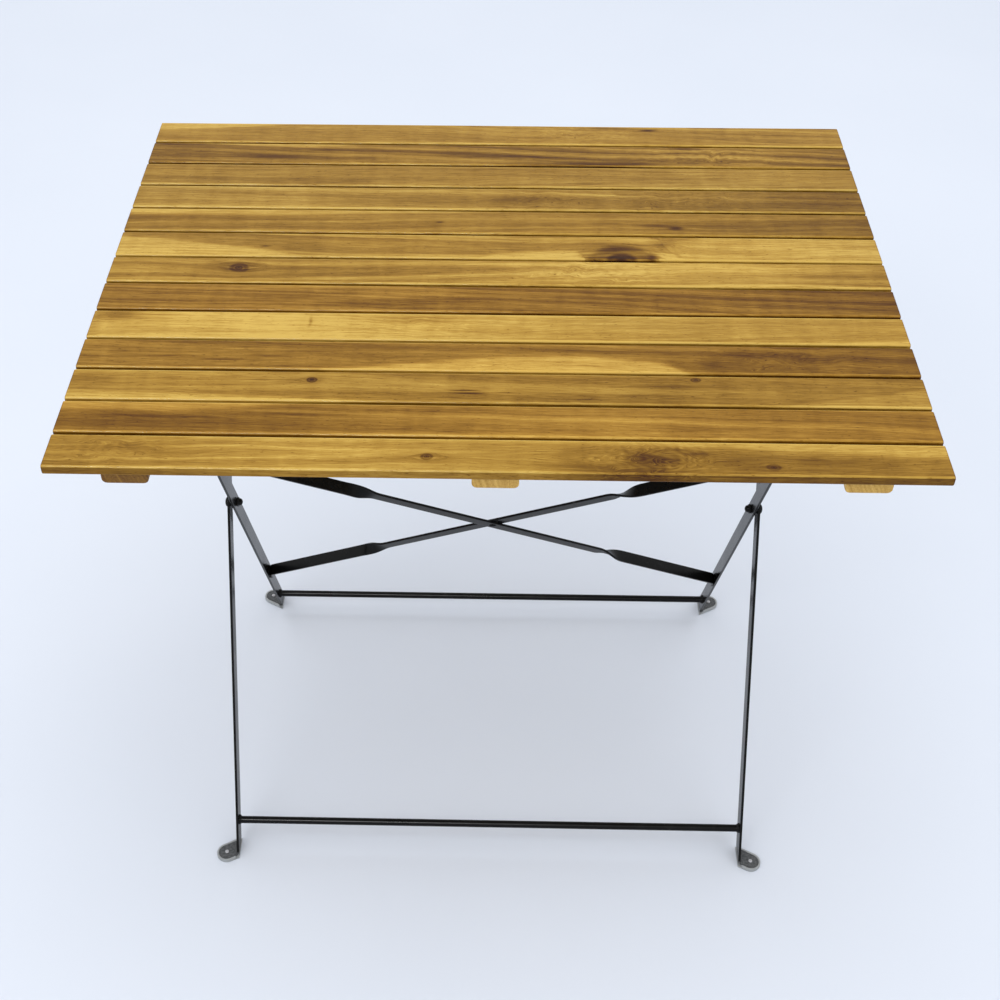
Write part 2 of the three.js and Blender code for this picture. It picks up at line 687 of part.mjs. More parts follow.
function outerFrame() {
  const frame = new THREE.Group();
  frame.position.z = PIVOT_HEIGHT;
  frame.rotation.x = -LEAN;
  addLegs(frame, "outer", -LEAN, OUTER_LEG_X, ROD_RADIUS + 0.1);
  const stretcher = stretcherGeometry(OUTER_LEG_X, -STRETCHER_REACH);
  addMesh(frame, "front_stretcher_rod", stretcher, MATERIALS.frame);
  const topRod = stretcherGeometry(TOP_ROD_END_X, UPPER_ARM);
  addMesh(frame, "top_rod", topRod, MATERIALS.frame);
  addPivots(frame);
  return frame;
}

function tabletop() {
  const top = new THREE.Group();
  addSlats(top);
  addBattens(top);
  addTopHardware(top);
  return top;
}

const table = new THREE.Group();
table.add(tabletop(), innerFrame(), outerFrame());
export default table;
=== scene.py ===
"""The looks of the slatted folding table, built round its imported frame.

Metres, +Z up, -Y is the front. Every piece is made at rest, in the frame's own place, and rides on
the body of the CAD node that it replaces.
"""

import json
from math import atan, atan2, copysign, cos, degrees, pi, radians, sin, sqrt, tan

import bmesh
import bpy
from mathutils import Matrix, Vector, noise


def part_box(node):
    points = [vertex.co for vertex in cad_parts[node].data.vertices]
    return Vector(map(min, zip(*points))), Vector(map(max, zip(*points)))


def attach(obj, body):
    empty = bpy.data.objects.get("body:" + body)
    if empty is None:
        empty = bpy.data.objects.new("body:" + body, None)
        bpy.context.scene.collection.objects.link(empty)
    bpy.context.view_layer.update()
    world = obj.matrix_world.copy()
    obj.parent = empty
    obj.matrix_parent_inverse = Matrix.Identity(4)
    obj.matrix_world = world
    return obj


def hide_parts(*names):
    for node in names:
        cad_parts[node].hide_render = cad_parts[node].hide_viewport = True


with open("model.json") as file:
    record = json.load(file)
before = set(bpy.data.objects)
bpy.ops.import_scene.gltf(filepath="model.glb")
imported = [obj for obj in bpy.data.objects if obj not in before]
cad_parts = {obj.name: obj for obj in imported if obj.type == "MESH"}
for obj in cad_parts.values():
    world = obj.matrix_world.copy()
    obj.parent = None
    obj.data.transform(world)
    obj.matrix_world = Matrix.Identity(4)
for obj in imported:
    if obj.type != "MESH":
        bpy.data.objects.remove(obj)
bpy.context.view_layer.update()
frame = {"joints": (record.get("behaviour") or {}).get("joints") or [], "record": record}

MM = 0.001
RECORD = frame["record"]
BODY_OF = {node: body for body, nodes in RECORD["behaviour"]["bodies"].items() for node in nodes}
JOINTS = {joint["name"]: joint for joint in frame["joints"]}
HINGE = Vector(JOINTS["inner_leg_hinge"]["pos_m"])
PIVOT = Vector(JOINTS["leg_pivot"]["pos_m"])
LEAN = atan2(-HINGE.y, HINGE.z - PIVOT.z)
SIDES = {"left": -1, "right": 1}
# Each frame's feet: their end of the table, and their way along Y.
FEET = {"inner": ("rear", 1), "outer": ("front", -1)}

# Sizes that the CAD model has too
BAR_THICK = 3 * MM
TAB_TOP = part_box("inner_leg_right")[0].z + BAR_THICK
PLATE_THICK = 2 * MM
HOOK_THICK = 2.5 * MM
BRACE_WIDTH = 15 * MM
BRACE_SLOPE = 0.742
BRACE_BEND = 8 * MM
BRACE_TAB = 11 * MM
TWIST_START = 134 * MM
TWIST_END = 171 * MM
BOLT_RADIUS = 3 * MM
HEAD_RADIUS = 6 * MM
GLIDE_BASE = 1.8 * MM

SEGMENTS = 32
FINE_SEGMENTS = 36

# The camera stands where the table's own edges put it in the picture.
CAMERA_PLACE = Vector((-0.0072, -1.2904, 1.5649))
CAMERA_YAW = -1.4
CAMERA_DOWN = 42.1
CAMERA_ROLL = -0.16
CAMERA_LENS = 53.45
CAMERA_SHIFT = 0.04


def new_object(name, data):
    item = bpy.data.objects.new(name, data)
    bpy.context.scene.collection.objects.link(item)
    return item


# ---- Camera and light ----


def add_camera():
    yaw, down, roll = (radians(a) for a in (CAMERA_YAW, CAMERA_DOWN, CAMERA_ROLL))
    data = bpy.data.cameras.new("camera")
    data.lens = CAMERA_LENS
    data.shift_x = CAMERA_SHIFT
    camera = new_object("camera", data)
    turn = Matrix.Rotation(-yaw, 4, "Z") @ Matrix.Rotation(pi / 2 - down, 4, "X")
    camera.matrix_world = Matrix.Translation(CAMERA_PLACE) @ turn @ Matrix.Rotation(roll, 4, "Z")
    bpy.context.scene.camera = camera


def add_area_light(name, place, target, size, watts, colour=(1, 1, 1)):
    data = bpy.data.lights.new(name, "AREA")
    data.shape = "RECTANGLE"
    data.size, data.size_y = size
    data.energy = watts
    data.color = colour
    light = new_object(name, data)
    light.location = place
    light.rotation_euler = (Vector(target) - Vector(place)).to_track_quat("-Z", "Y").to_euler()
    return light


def add_light():
    world = bpy.data.worlds.new("studio")
    world.use_nodes = True
    background = world.node_tree.nodes["Background"]
    background.inputs["Color"].default_value = (0.955, 0.975, 1, 1)
    background.inputs["Strength"].default_value = 1.0
    bpy.context.scene.world = world
    add_area_light("key", (-1.3, -2.3, 2.9), (0, 0, 0.6), (1.8, 0.8), 16, (1, 0.99, 0.97))
    top = add_area_light("top", (0.1, -0.1, 3.6), (0, 0, 0), (3, 3), 38, (0.97, 0.985, 1))
    top.visible_glossy = False
    # A strip that only shows as glints along edges.
    glint = add_area_light("glint", (-0.9, -2.2, 2.9), (0, 0, 0.7), (1.9, 0.55), 120)
    glint.visible_diffuse = False
    bpy.context.scene.view_settings.view_transform = "Standard"


# ---- Materials ----


def arithmetic(operation, swapped=False):
    """An operator of Field that adds one math node."""
    if swapped:
        return lambda field, other: field.nodes.math(operation, other, field)
    return lambda field, other: field.nodes.math(operation, field, other)


class Field:
    """A number that varies over a surface: arithmetic on it adds math nodes."""

    def __init__(self, nodes, socket):
        self.nodes = nodes
        self.socket = socket

    __add__ = __radd__ = arithmetic("ADD")
    __sub__ = arithmetic("SUBTRACT")
    __rsub__ = arithmetic("SUBTRACT", swapped=True)
    __mul__ = __rmul__ = arithmetic("MULTIPLY")
    __truediv__ = arithmetic("DIVIDE")

    def clamped(self, gain=1, shift=0):
        """The field times the gain plus the shift, kept between 0 and 1."""
        return self.nodes.math("MULTIPLY_ADD", self, gain, shift, clamp=True)

    def bell(self, sharpness=1):
        """1 where the field is 0, falling off smoothly to both sides."""
        return self.nodes.math("EXPONENT", self * self * -sharpness)


class Nodes:
    """Builds the node tree of one material."""

    def __init__(self, name):
        self.material = bpy.data.materials.new(name)
        self.material.use_nodes = True
        self.tree = self.material.node_tree
        self.shader = self.tree.nodes["Principled BSDF"]
        self.place = self.node("TexCoord", {}).outputs["Object"]

    def feed(self, socket, value):
        value = getattr(value, "socket", value)
        if isinstance(value, bpy.types.NodeSocket):
            self.tree.links.new(value, socket)
        else:
            socket.default_value = value

    def node(self, kind, inputs, **settings):
        node = self.tree.nodes.new("ShaderNode" + kind)
        for key, value in settings.items():
            setattr(node, key, value)
        for key, value in inputs.items():
            self.feed(node.inputs[key], value)
        return node

    def math(self, operation, *values, clamp=False):
        node = self.node("Math", dict(enumerate(values)), operation=operation, use_clamp=clamp)
        return Field(self, node.outputs[0])

    def axes(self):
        node = self.node("SeparateXYZ", {0: self.place})
        return [Field(self, output) for output in node.outputs]

    def noise(self, scale, detail=2, roughness=0.5, distortion=0, vector=None):
        names = ("Vector", "Scale", "Detail", "Roughness", "Distortion")
        inputs = dict(zip(names, (vector or self.place, scale, detail, roughness, distortion)))
        return Field(self, self.node("TexNoise", inputs).outputs[0])

    def cloud(self, scale, offset=(0, 0, 0), place=None, detail=2, roughness=0.5, distortion=0):
        """Noise from -0.5 to 0.5, with so many lumps to the metre along each axis."""
        inputs = {"Vector": place or self.place, "Scale": scale, "Location": offset}
        vector = self.node("Mapping", inputs).outputs[0]
        return self.noise(1, detail, roughness, distortion, vector) - 0.5

    def noise_along(self, field, detail=2, roughness=0.5):
        """Noise from -0.5 to 0.5 that changes with one field."""
        inputs = {"W": field, "Scale": 1, "Detail": detail, "Roughness": roughness}
        return Field(self, self.node("TexNoise", inputs, noise_dimensions="1D").outputs[0]) - 0.5

    def curve(self, field, points, low=0, high=1):
        """A smooth curve through (input 0 to 1, value low to high) points."""
        node = self.node("FloatCurve", {"Value": field})
        drawn = node.mapping.curves[0].points
        scaled = [(u, (v - low) / (high - low)) for u, v in points]
        for (u, v), point in zip((scaled[0], scaled[-1]), (drawn[0], drawn[-1])):
            point.location = (u, v)
        for u, v in scaled[1:-1]:
            drawn.new(u, v)
        node.mapping.update()
        return Field(self, node.outputs[0]) * (high - low) + low

    def ramp(self, field, stops):
        node = self.node("ValToRGB", {0: field})
        elements = node.color_ramp.elements
        for _ in stops[2:]:
            elements.new(0.5)
        for element, (position, colour) in zip(elements, stops):
            element.position = position
            element.color = (*colour, 1)
        return node.outputs[0]

    def mix(self, factor, first, second, blend="MIX"):
        node = self.node("Mix", {0: factor}, data_type="RGBA", blend_type=blend)
        for index, colour in ((6, first), (7, second)):
            self.feed(node.inputs[index], (*colour, 1) if isinstance(colour, tuple) else colour)
        return node.outputs[2]

    def bump(self, height, distance, strength):
        inputs = {"Height": height, "Distance": distance, "Strength": strength}
        self.feed(self.shader.inputs["Normal"], self.node("Bump", inputs).outputs[0])

    def finish(self, **inputs):
        """Sets the shader's sockets, named with _ for each space."""
        for name, value in inputs.items():
            self.feed(self.shader.inputs[name.replace("_", " ")], value)
        return self.material


def srgb(red, green, blue):
    """A colour given as the eye sees it on a screen, from 0 to 255, as linear light."""
    return tuple(((c / 255 + 0.055) / 1.055) ** 2.4 for c in (red, green, blue))


# Wood from light sapwood to dark heartwood and knots, as (tone, colour).
WOOD_TONES = [
    (0.0, srgb(243, 204, 107)),
    (0.2, srgb(211, 168, 75)),
    (0.4, srgb(183, 139, 53)),
    (0.6, srgb(151, 109, 30)),
    (0.8, srgb(118, 79, 15)),
    (1.0, srgb(92, 52, 8)),
    (1.25, srgb(60, 31, 5)),
]
DARKEST = WOOD_TONES[-1][0]
# A varnished board also reflects the sky, so its own colour is darker than it looks.
VARNISHED = 0.61
# Boards differ from each other more than the grain does within one.
MIDDLE_TONE = 0.42
TONE_SPREAD = 1.18
# Ripples across curly grain.
RIDGE_SPACING = 11 * MM
# How far above the foot tabs the steel is painted grey, as a painted reflection of the sky.
PAINTED_REFLECTION_RISE = 2.5 * MM


def distance_from(spot, along, across, size):
    """The distance from a spot of the board, as a share of the spot's reach."""
    spot_u, spot_v, reach_u, reach_v = spot
    u = (along - spot_u) * (size.x / (reach_u * MM))
    v = (across - spot_v) * (size.y / (reach_v * MM))
    return along.nodes.math("SQRT", u * u + v * v)


def wood(
    name, lo, hi, seed, tones, strips=(), marks=(), knots=(), curls=(),
    tint=(1, 1, 1), sweep=0, pith=0.5, depth=24,
):
    """Varnished wood that runs along X.

    tones: the heartwood's tone at even steps along the board.
    strips: (edge, tone, boundary points): sapwood behind or before a boundary that wanders.
    marks: (*spot, darkness): splits and dark or light streaks.
    knots: (*spot, darkness, how far the rings swell round it).
    curls: (*spot, strength): places where the grain swirls.
    A spot is its place along and across the board, and its reach along and across in millimetres.
    sweep: how far the rings run across the board along its length, in millimetres.
    pith, depth: where the rings' middle lies across the board, and how many millimetres under it.
    """
    n = Nodes(name)
    size = hi - lo
    x, y, z = n.axes()
    along = (x - lo.x) / size.x
    across = (y - lo.y) / size.y
    offset = (seed * 1.37, seed * 2.11, seed * 0.73)
    drift = n.cloud((2.6, 9, 9), offset, detail=1)
    waver = n.cloud((9, 30, 30), offset)

    # How far the grain is pushed aside, in millimetres, and the ripples that show where it swirls.
    swell = drift * 26 + waver * 7 + along * sweep
    figure = 0
    for *spot, strength in curls:
        near = distance_from(spot, along, across, size).bell()
        ripple = n.cloud((24, 60, 60), offset, detail=1, distortion=1.2)
        ridges = n.math("SINE", x * (2 * pi / RIDGE_SPACING) + ripple * 24 + waver * 12)
        swell = swell + near * ripple * (26 * strength)
        figure = near * ridges * (0.034 * strength) + figure
    for u, v, reach_u, reach_v, _, rise in knots:
        near = distance_from((u, v, reach_u * 3.2, reach_v * 2.6), along, across, size).bell()
        swell = swell + near * n.math("SIGN", across - v) * -rise
    grain = n.node("CombineXYZ", {0: x, 1: y + swell * MM, 2: z}).outputs[0]

    # Growth rings: shells round a pith that lies under the board, in millimetres.
    sideways = (across - pith) * (size.y / MM) + swell
    below = (z - hi.z) / MM + depth
    shell = n.math("SQRT", sideways * sideways + below * below) + along * 7 + seed * 31
    broad_rings = n.noise_along(shell * 0.15)
    rings = n.noise_along(shell * 0.55, detail=3, roughness=0.6)
    fine_rings = n.noise_along(shell * 2.3)

    # Grain that follows the swell, from broad bands to single pores.
    bands = n.cloud((3, 65, 65), offset, grain, 3, 0.55)
    streaks = n.cloud((9, 300, 300), offset, grain, 4, 0.66)
    fibres = n.cloud((14, 700, 700), offset, grain, 3, 0.62)
    lines = n.cloud((15, 900, 900), (offset[2], 3, offset[0]), grain).clamped(6, -0.7)
    pores = n.cloud((70, 1500, 1500), offset, grain, 1)
    flecks = n.cloud((190, 1100, 1100), offset, grain, 1).clamped(7, -1.1)
    shimmer = n.cloud((44, 14, 14), offset, distortion=0.5)

    steps = [MIDDLE_TONE + (t - MIDDLE_TONE) * TONE_SPREAD for t in tones]
    tone = n.curve(along, [(i / (len(steps) - 1), t) for i, t in enumerate(steps)])
    tone = tone + broad_rings * 0.72 + rings * 0.24 + fine_rings * 0.12 + bands * 0.28 + streaks * 0.22

    # Sapwood, marks and knots, with outlines that wander off their places a little.
    place_u = along + waver * 0.012
    place_v = across + drift * 0.16 + waver * 0.12 + fibres * 0.05
    for edge, strip_tone, boundary in strips:
        line = n.curve(along, boundary, -0.4, 1.4)
        inside = (place_v - line) if edge == "rear" else (line - place_v)
        inside = inside + rings * 0.16 + streaks * 0.3 + bands * 0.2
        sapwood = strip_tone + rings * 0.3 + bands * 0.3 + streaks * 0.25
        tone = tone + inside.clamped(4.4, 0.5) * (sapwood - tone) + inside.bell(260) * 0.12
    for *spot, dark in marks:
        near = distance_from(spot, place_u, place_v, size).bell()
        tone = tone + near * (streaks * 1.5 + 1) * dark
    for *spot, dark, _ in knots:
        away = distance_from(spot, place_u, place_v, size)
        heart = away.bell() * (n.math("SINE", away * 13 + waver * 9) * 0.3 + 1.1)
        bark = (away - 1.35 + waver * 0.8).bell(12)
        tone = tone + (heart + bark * 0.5) * dark

    # Painted highlight: the upper edges are painted paler, as glints along them. Painted shade: the sides
    # are painted darker. The sawn ends are darker, as end grain is.
    side = n.math("GREATER_THAN", hi.z - z, 1.6 * MM)
    from_edge = (0.5 - n.math("ABSOLUTE", across - 0.5)) * (size.y / MM)
    painted_edge_highlight = from_edge.clamped(-1, 2.7) * (1 - side)
    end = n.math("GREATER_THAN", n.math("ABSOLUTE", along - 0.5), 0.5 - 1.3 * MM / size.x)
    tone = tone + fibres * 0.4 + pores * 0.45 + flecks * 0.42 + shimmer * 0.23 + lines * 0.32
    # Painted shade on the sides and a painted highlight along the upper edges.
    tone = tone + side * 0.17 - painted_edge_highlight * (0.26 + drift * 0.5) + figure + end * 0.14

    shades = [(t / DARKEST, tuple(c * VARNISHED for c in shade)) for t, shade in WOOD_TONES]
    colour = n.ramp(tone / DARKEST, shades)
    hue = n.cloud((4, 18, 18), (offset[1], offset[0], 3)) + 0.5
    colour = n.mix(hue, colour, n.mix(1, colour, (1.04, 0.98, 0.76), "MULTIPLY"))
    colour = n.mix(1, colour, tint, "MULTIPLY")
    n.bump(fibres * 0.5 + pores * 0.8 + fine_rings * 0.3, 0.0002, 0.5)
    return n.finish(
        Base_Color=colour,
        Roughness=0.42 + fibres * 0.25 + shimmer * 0.1,
        Specular_IOR_Level=0.04,
        Coat_Weight=0.2,
        Coat_Roughness=0.13,
    )


def coated_steel(name, roughness, peel=0.00005):
    """Satin black powder coat: fine orange peel, dust, small scuffs, and a painted reflection: mottled grey
    on the foot tabs.
    """
    n = Nodes(name)
    mottle = n.noise(14, 4, 0.6)
    grain = n.noise(1400)
    fine = n.noise(4200, 1)
    dust = n.noise(55, 5, 0.7).clamped(3.2, -1.7)
    scuff = n.cloud((60, 60, 9), detail=3, roughness=0.65).clamped(9, -1.8)
    colour = n.mix(mottle, (0.002, 0.002, 0.002), (0.005, 0.005, 0.0052))
    colour = n.mix(dust * 0.05, colour, (0.20, 0.20, 0.20))
    colour = n.mix(scuff * 0.1, colour, (0.12, 0.12, 0.125))
    # Painted reflection: the foot tabs and the bar just above them are painted a mottled grey for the sky
    # that their tops reflect, and made rougher.
    painted_reflection_mask = ((TAB_TOP + PAINTED_REFLECTION_RISE - n.axes()[2]) / PAINTED_REFLECTION_RISE).clamped()
    reflection_mottle = n.noise(420, 4, 0.65).clamped(3.6, -1.3)
    colour = n.mix(painted_reflection_mask, colour, n.mix(reflection_mottle, (0.045, 0.047, 0.05), (0.125, 0.13, 0.135)))
    n.bump(grain * 0.7 + fine * 0.3, peel, 0.6)
    rough = roughness + (mottle - 0.5) * 0.14 + scuff * 0.1 + painted_reflection_mask * 0.25
    return n.finish(Base_Color=colour, Roughness=rough, Specular_IOR_Level=0.12)


def zinc():
    n = Nodes("zinc")
    mottle = n.noise(220, 3)
    colour = n.mix(mottle, (0.42, 0.41, 0.38), (0.66, 0.65, 0.61))
    n.bump(n.cloud((2600, 260, 400)), 0.00002, 0.5)
    return n.finish(Base_Color=colour, Metallic=1.0, Roughness=0.3 + mottle * 0.2)


def cloudy_plastic(name, first, second, transmission):
    """Moulded plastic, faintly mottled and dirty, with a fine spark-eroded texture."""
    n = Nodes(name)
    mottle = n.noise(130, 4, 0.6)
    dirt = n.noise(420, 4, 0.7).clamped(4, -2.4)
    colour = n.mix(mottle, first, second)
    colour = n.mix(dirt * 0.25, colour, (0.14, 0.13, 0.12))
    n.bump(n.noise(2600), 0.00004, 0.5)
    return n.finish(
        Base_Color=colour, Roughness=0.34 + mottle * 0.2, Transmission_Weight=transmission, IOR=1.47
    )


def pale_floor():
    n = Nodes("floor")
    colour = n.mix(n.noise(1.6, 3), srgb(213, 219, 230), srgb(221, 226, 236))
    n.bump(n.noise(900), 0.0001, 0.2)
    return n.finish(Base_Color=colour, Roughness=0.85)


# ---- Mesh helpers ----


def rounded_rectangle(left, right, low, high, radius, steps=3, low_radius=None):
    """Points round a rectangle with rounded corners, counter-clockwise from its low right corner."""
    most = min(right - left, high - low) * 0.499
    radius = min(radius, most)
    low_radius = min(low_radius or radius, most)
    corners = [
        (right - low_radius, low + low_radius, low_radius), (right - radius, high - radius, radius),
        (left + radius, high - radius, radius), (left + low_radius, low + low_radius, low_radius),
    ]
    points = []
    for quarter, (u, v, reach) in enumerate(corners):
        for step in range(steps + 1):
            angle = pi / 2 * (quarter - 1 + step / steps)
            points.append((u + reach * cos(angle), v + reach * sin(angle)))
    return points


def half_chord(radius, offset):
    """Half the width of a circle at an offset from its middle."""
    return sqrt(max(radius**2 - offset**2, 0))


def rim_inset(distance, radius):
    """How far a rounded rim of this radius stands back at a distance from its end."""
    return radius - half_chord(radius, max(radius - distance, 0))


def rim_steps(radius, steps=4):
    """Distances from an end, dense where the rim is round."""
    return [radius * (1 - cos(pi / 2 * step / steps)) for step in range(steps + 1)]


def smoothstep(value):
    value = min(1, max(0, value))
    return value * value * (3 - 2 * value)


def loft(rings, closed=False):
    """A mesh through rings of the same number of points, capped at both ends unless it closes on itself."""
    mesh = bmesh.new()
    rows = [[mesh.verts.new(point) for point in ring] for ring in rings]
    count = len(rings[0])
    pairs = list(zip(rows, rows[1:])) + ([(rows[-1], rows[0])] if closed else [])
    for first, second in pairs:
        for i in range(count):
            j = (i + 1) % count
            mesh.faces.new((first[i], first[j], second[j], second[i]))
    if not closed:
        mesh.faces.new(rows[0][::-1])
        mesh.faces.new(rows[-1])
    return mesh


def circle(radius, height, segments=SEGMENTS):
    radius = max(radius, 0.01 * MM)
    turns = [2 * pi * i / segments for i in range(segments)]
    return [Vector((radius * cos(a), radius * sin(a), height)) for a in turns]


def turned(profile):
    """A lathe-turned mesh along +Z from its (radius, height) profile."""
    return loft([circle(radius, height) for radius, height in profile])


def dome(radius, base, height, steps=8):
    """The profile of a dome from its rim to its crown."""
    angles = [pi / 2 * step / steps for step in range(steps + 1)]
    return [(radius * cos(a), base + height * sin(a)) for a in angles]


def joined(meshes):
    """One mesh that holds several."""
    whole = bmesh.new()
    for mesh in meshes:
        data = bpy.data.meshes.new("part")
        mesh.to_mesh(data)
        whole.from_mesh(data)
        bpy.data.meshes.remove(data)
        mesh.free()
    return whole


def middle_of(node):
    lo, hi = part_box(node)
    return (lo + hi) / 2


def moved(mesh, matrix):
    bmesh.ops.transform(mesh, matrix=matrix, verts=mesh.verts)
    return mesh


def outwards(mesh, x, axis):
    """Turns a piece made along +Z to point to the right, from x along a joint's axis."""
    place = Matrix.Translation((x, axis.y, axis.z))
    return moved(mesh, place @ Matrix.Rotation(pi / 2, 4, "Y"))


def mirrored(mesh, side):
    """A mesh made for the right side, on its own side."""
    return moved(mesh, Matrix.Scale(side, 4, (1, 0, 0)))


def show(name, mesh, node, material, crease=35, replaces=True):
    """Makes a piece of a mesh that takes the place and body of a CAD node."""
    bmesh.ops.remove_doubles(mesh, verts=mesh.verts, dist=1e-6)
    bmesh.ops.recalc_face_normals(mesh, faces=mesh.faces)
    data = bpy.data.meshes.new(name)
    mesh.to_mesh(data)
    mesh.free()
    data.shade_smooth()
    data.set_sharp_from_angle(angle=radians(crease))
    data.materials.append(material)
    piece = new_object(name, data)
    piece.modifiers.new("normals", "WEIGHTED_NORMAL").keep_sharp = True
    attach(piece, BODY_OF[node])
    if replaces:
        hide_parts(node)
    return piece


def show_pair(name, mesh, node, material):
    """Makes the left and the right piece of a mesh made for the right side."""
    for side, sign in SIDES.items():
        show(f"{name}_{side}", mirrored(mesh.copy(), sign), f"{node}_{side}", material)
    mesh.free()


# ---- Bent plates ----


def left_of(heading):
    return Vector((-sin(heading), cos(heading)))


class Path:
    """The middle line of a bent strip in a plane: straight runs and arcs, walked by distance."""

    def __init__(self, start, heading, runs):
        """runs: ("line", length) or ("turn", degrees to the left, radius)."""
        self.start = Vector(start)
        self.heading = radians(heading)
        self.runs = runs
        self.length = sum(self.length_of(run) for run in runs)

    @staticmethod
    def length_of(run):
        return run[1] if run[0] == "line" else radians(abs(run[1])) * run[2]

    def at(self, distance):
        """The point at a distance along the path and the direction to its left."""
        point, heading = self.start.copy(), self.heading
        for run in self.runs:
            step = distance if run is self.runs[-1] else min(distance, self.length_of(run))
            if run[0] == "line":
                point += Vector((cos(heading), sin(heading))) * step
            else:
                curl = copysign(run[2], run[1])
                centre = point + left_of(heading) * curl
                heading += step / curl
                point = centre - left_of(heading) * curl
            distance -= step
            if distance <= 0:
                break
        return point, left_of(heading)

    def stations(self, spacing, bend_steps):
        """Distances along the path, dense in its bends."""
        marks, done = [0], 0
        for run in self.runs:
            length = self.length_of(run)
            steps = bend_steps if run[0] == "turn" else max(1, round(length / spacing))
            marks += [done + length * (i + 1) / steps for i in range(steps)]
            done += length
        return marks


def bent_plate(path, rows, thickness, ease, placed):
    """A plate with eased rims, bent along a path.

    rows: (distance along the path, left end, right end) of each line across the plate.
    placed: turns (point of the path's plane, place across) into a point of the table.
    """
    first, last = rows[0][0], rows[-1][0]
    rings = []
    for distance, left, right in rows:
        inset = rim_inset(min(distance - first, last - distance), ease)
        half = thickness / 2 - inset
        middle, normal = path.at(distance)
        outline = rounded_rectangle(left, right, -half, half, ease - inset * 0.5)
        rings.append([placed(middle + normal * height, across) for across, height in outline])
    return loft(rings)


def merged_stations(*lists, least=0.15 * MM):
    """Sorted distances with none closer than least."""
    marks = []
    for mark in sorted(m for marks in lists for m in marks):
        if not marks or mark - marks[-1] >= least:
            marks.append(mark)
    return marks


# ---- The top ----


def plank(lo, hi, axis, ease, end_ease, wander=0, seed=0, low_ease=None):
    """A board with rounded edges and ends along X or Y that wanders a little, as real boards do."""
    length = hi[axis] - lo[axis]
    across = 1 - axis
    ends = rim_steps(end_ease)
    spacing = 30 * MM
    middle = [spacing * i for i in range(1, int(length / spacing))]
    marks = merged_stations(ends, [length - e for e in ends], middle)
    rings = []
    for mark in marks:
        inset = rim_inset(min(mark, length - mark), end_ease)
        drift = wander * noise.noise((mark * 3, seed * 7.3, 0))
        sag = wander * 0.4 * (noise.noise((mark * 4, seed * 5.1, 9)) - 1)
        inset_across = inset + wander * 0.6
        left, right = lo[across] + inset_across, hi[across] - inset_across
        outline = rounded_rectangle(left, right, lo.z + inset, hi.z - inset, ease, 4, low_ease)
        ring = []
        for place, height in outline:
            point = [0, 0, height + sag]
            point[axis] = lo[axis] + mark
            point[across] = place + drift
            ring.append(point)
        rings.append(ring)
    return loft(rings)


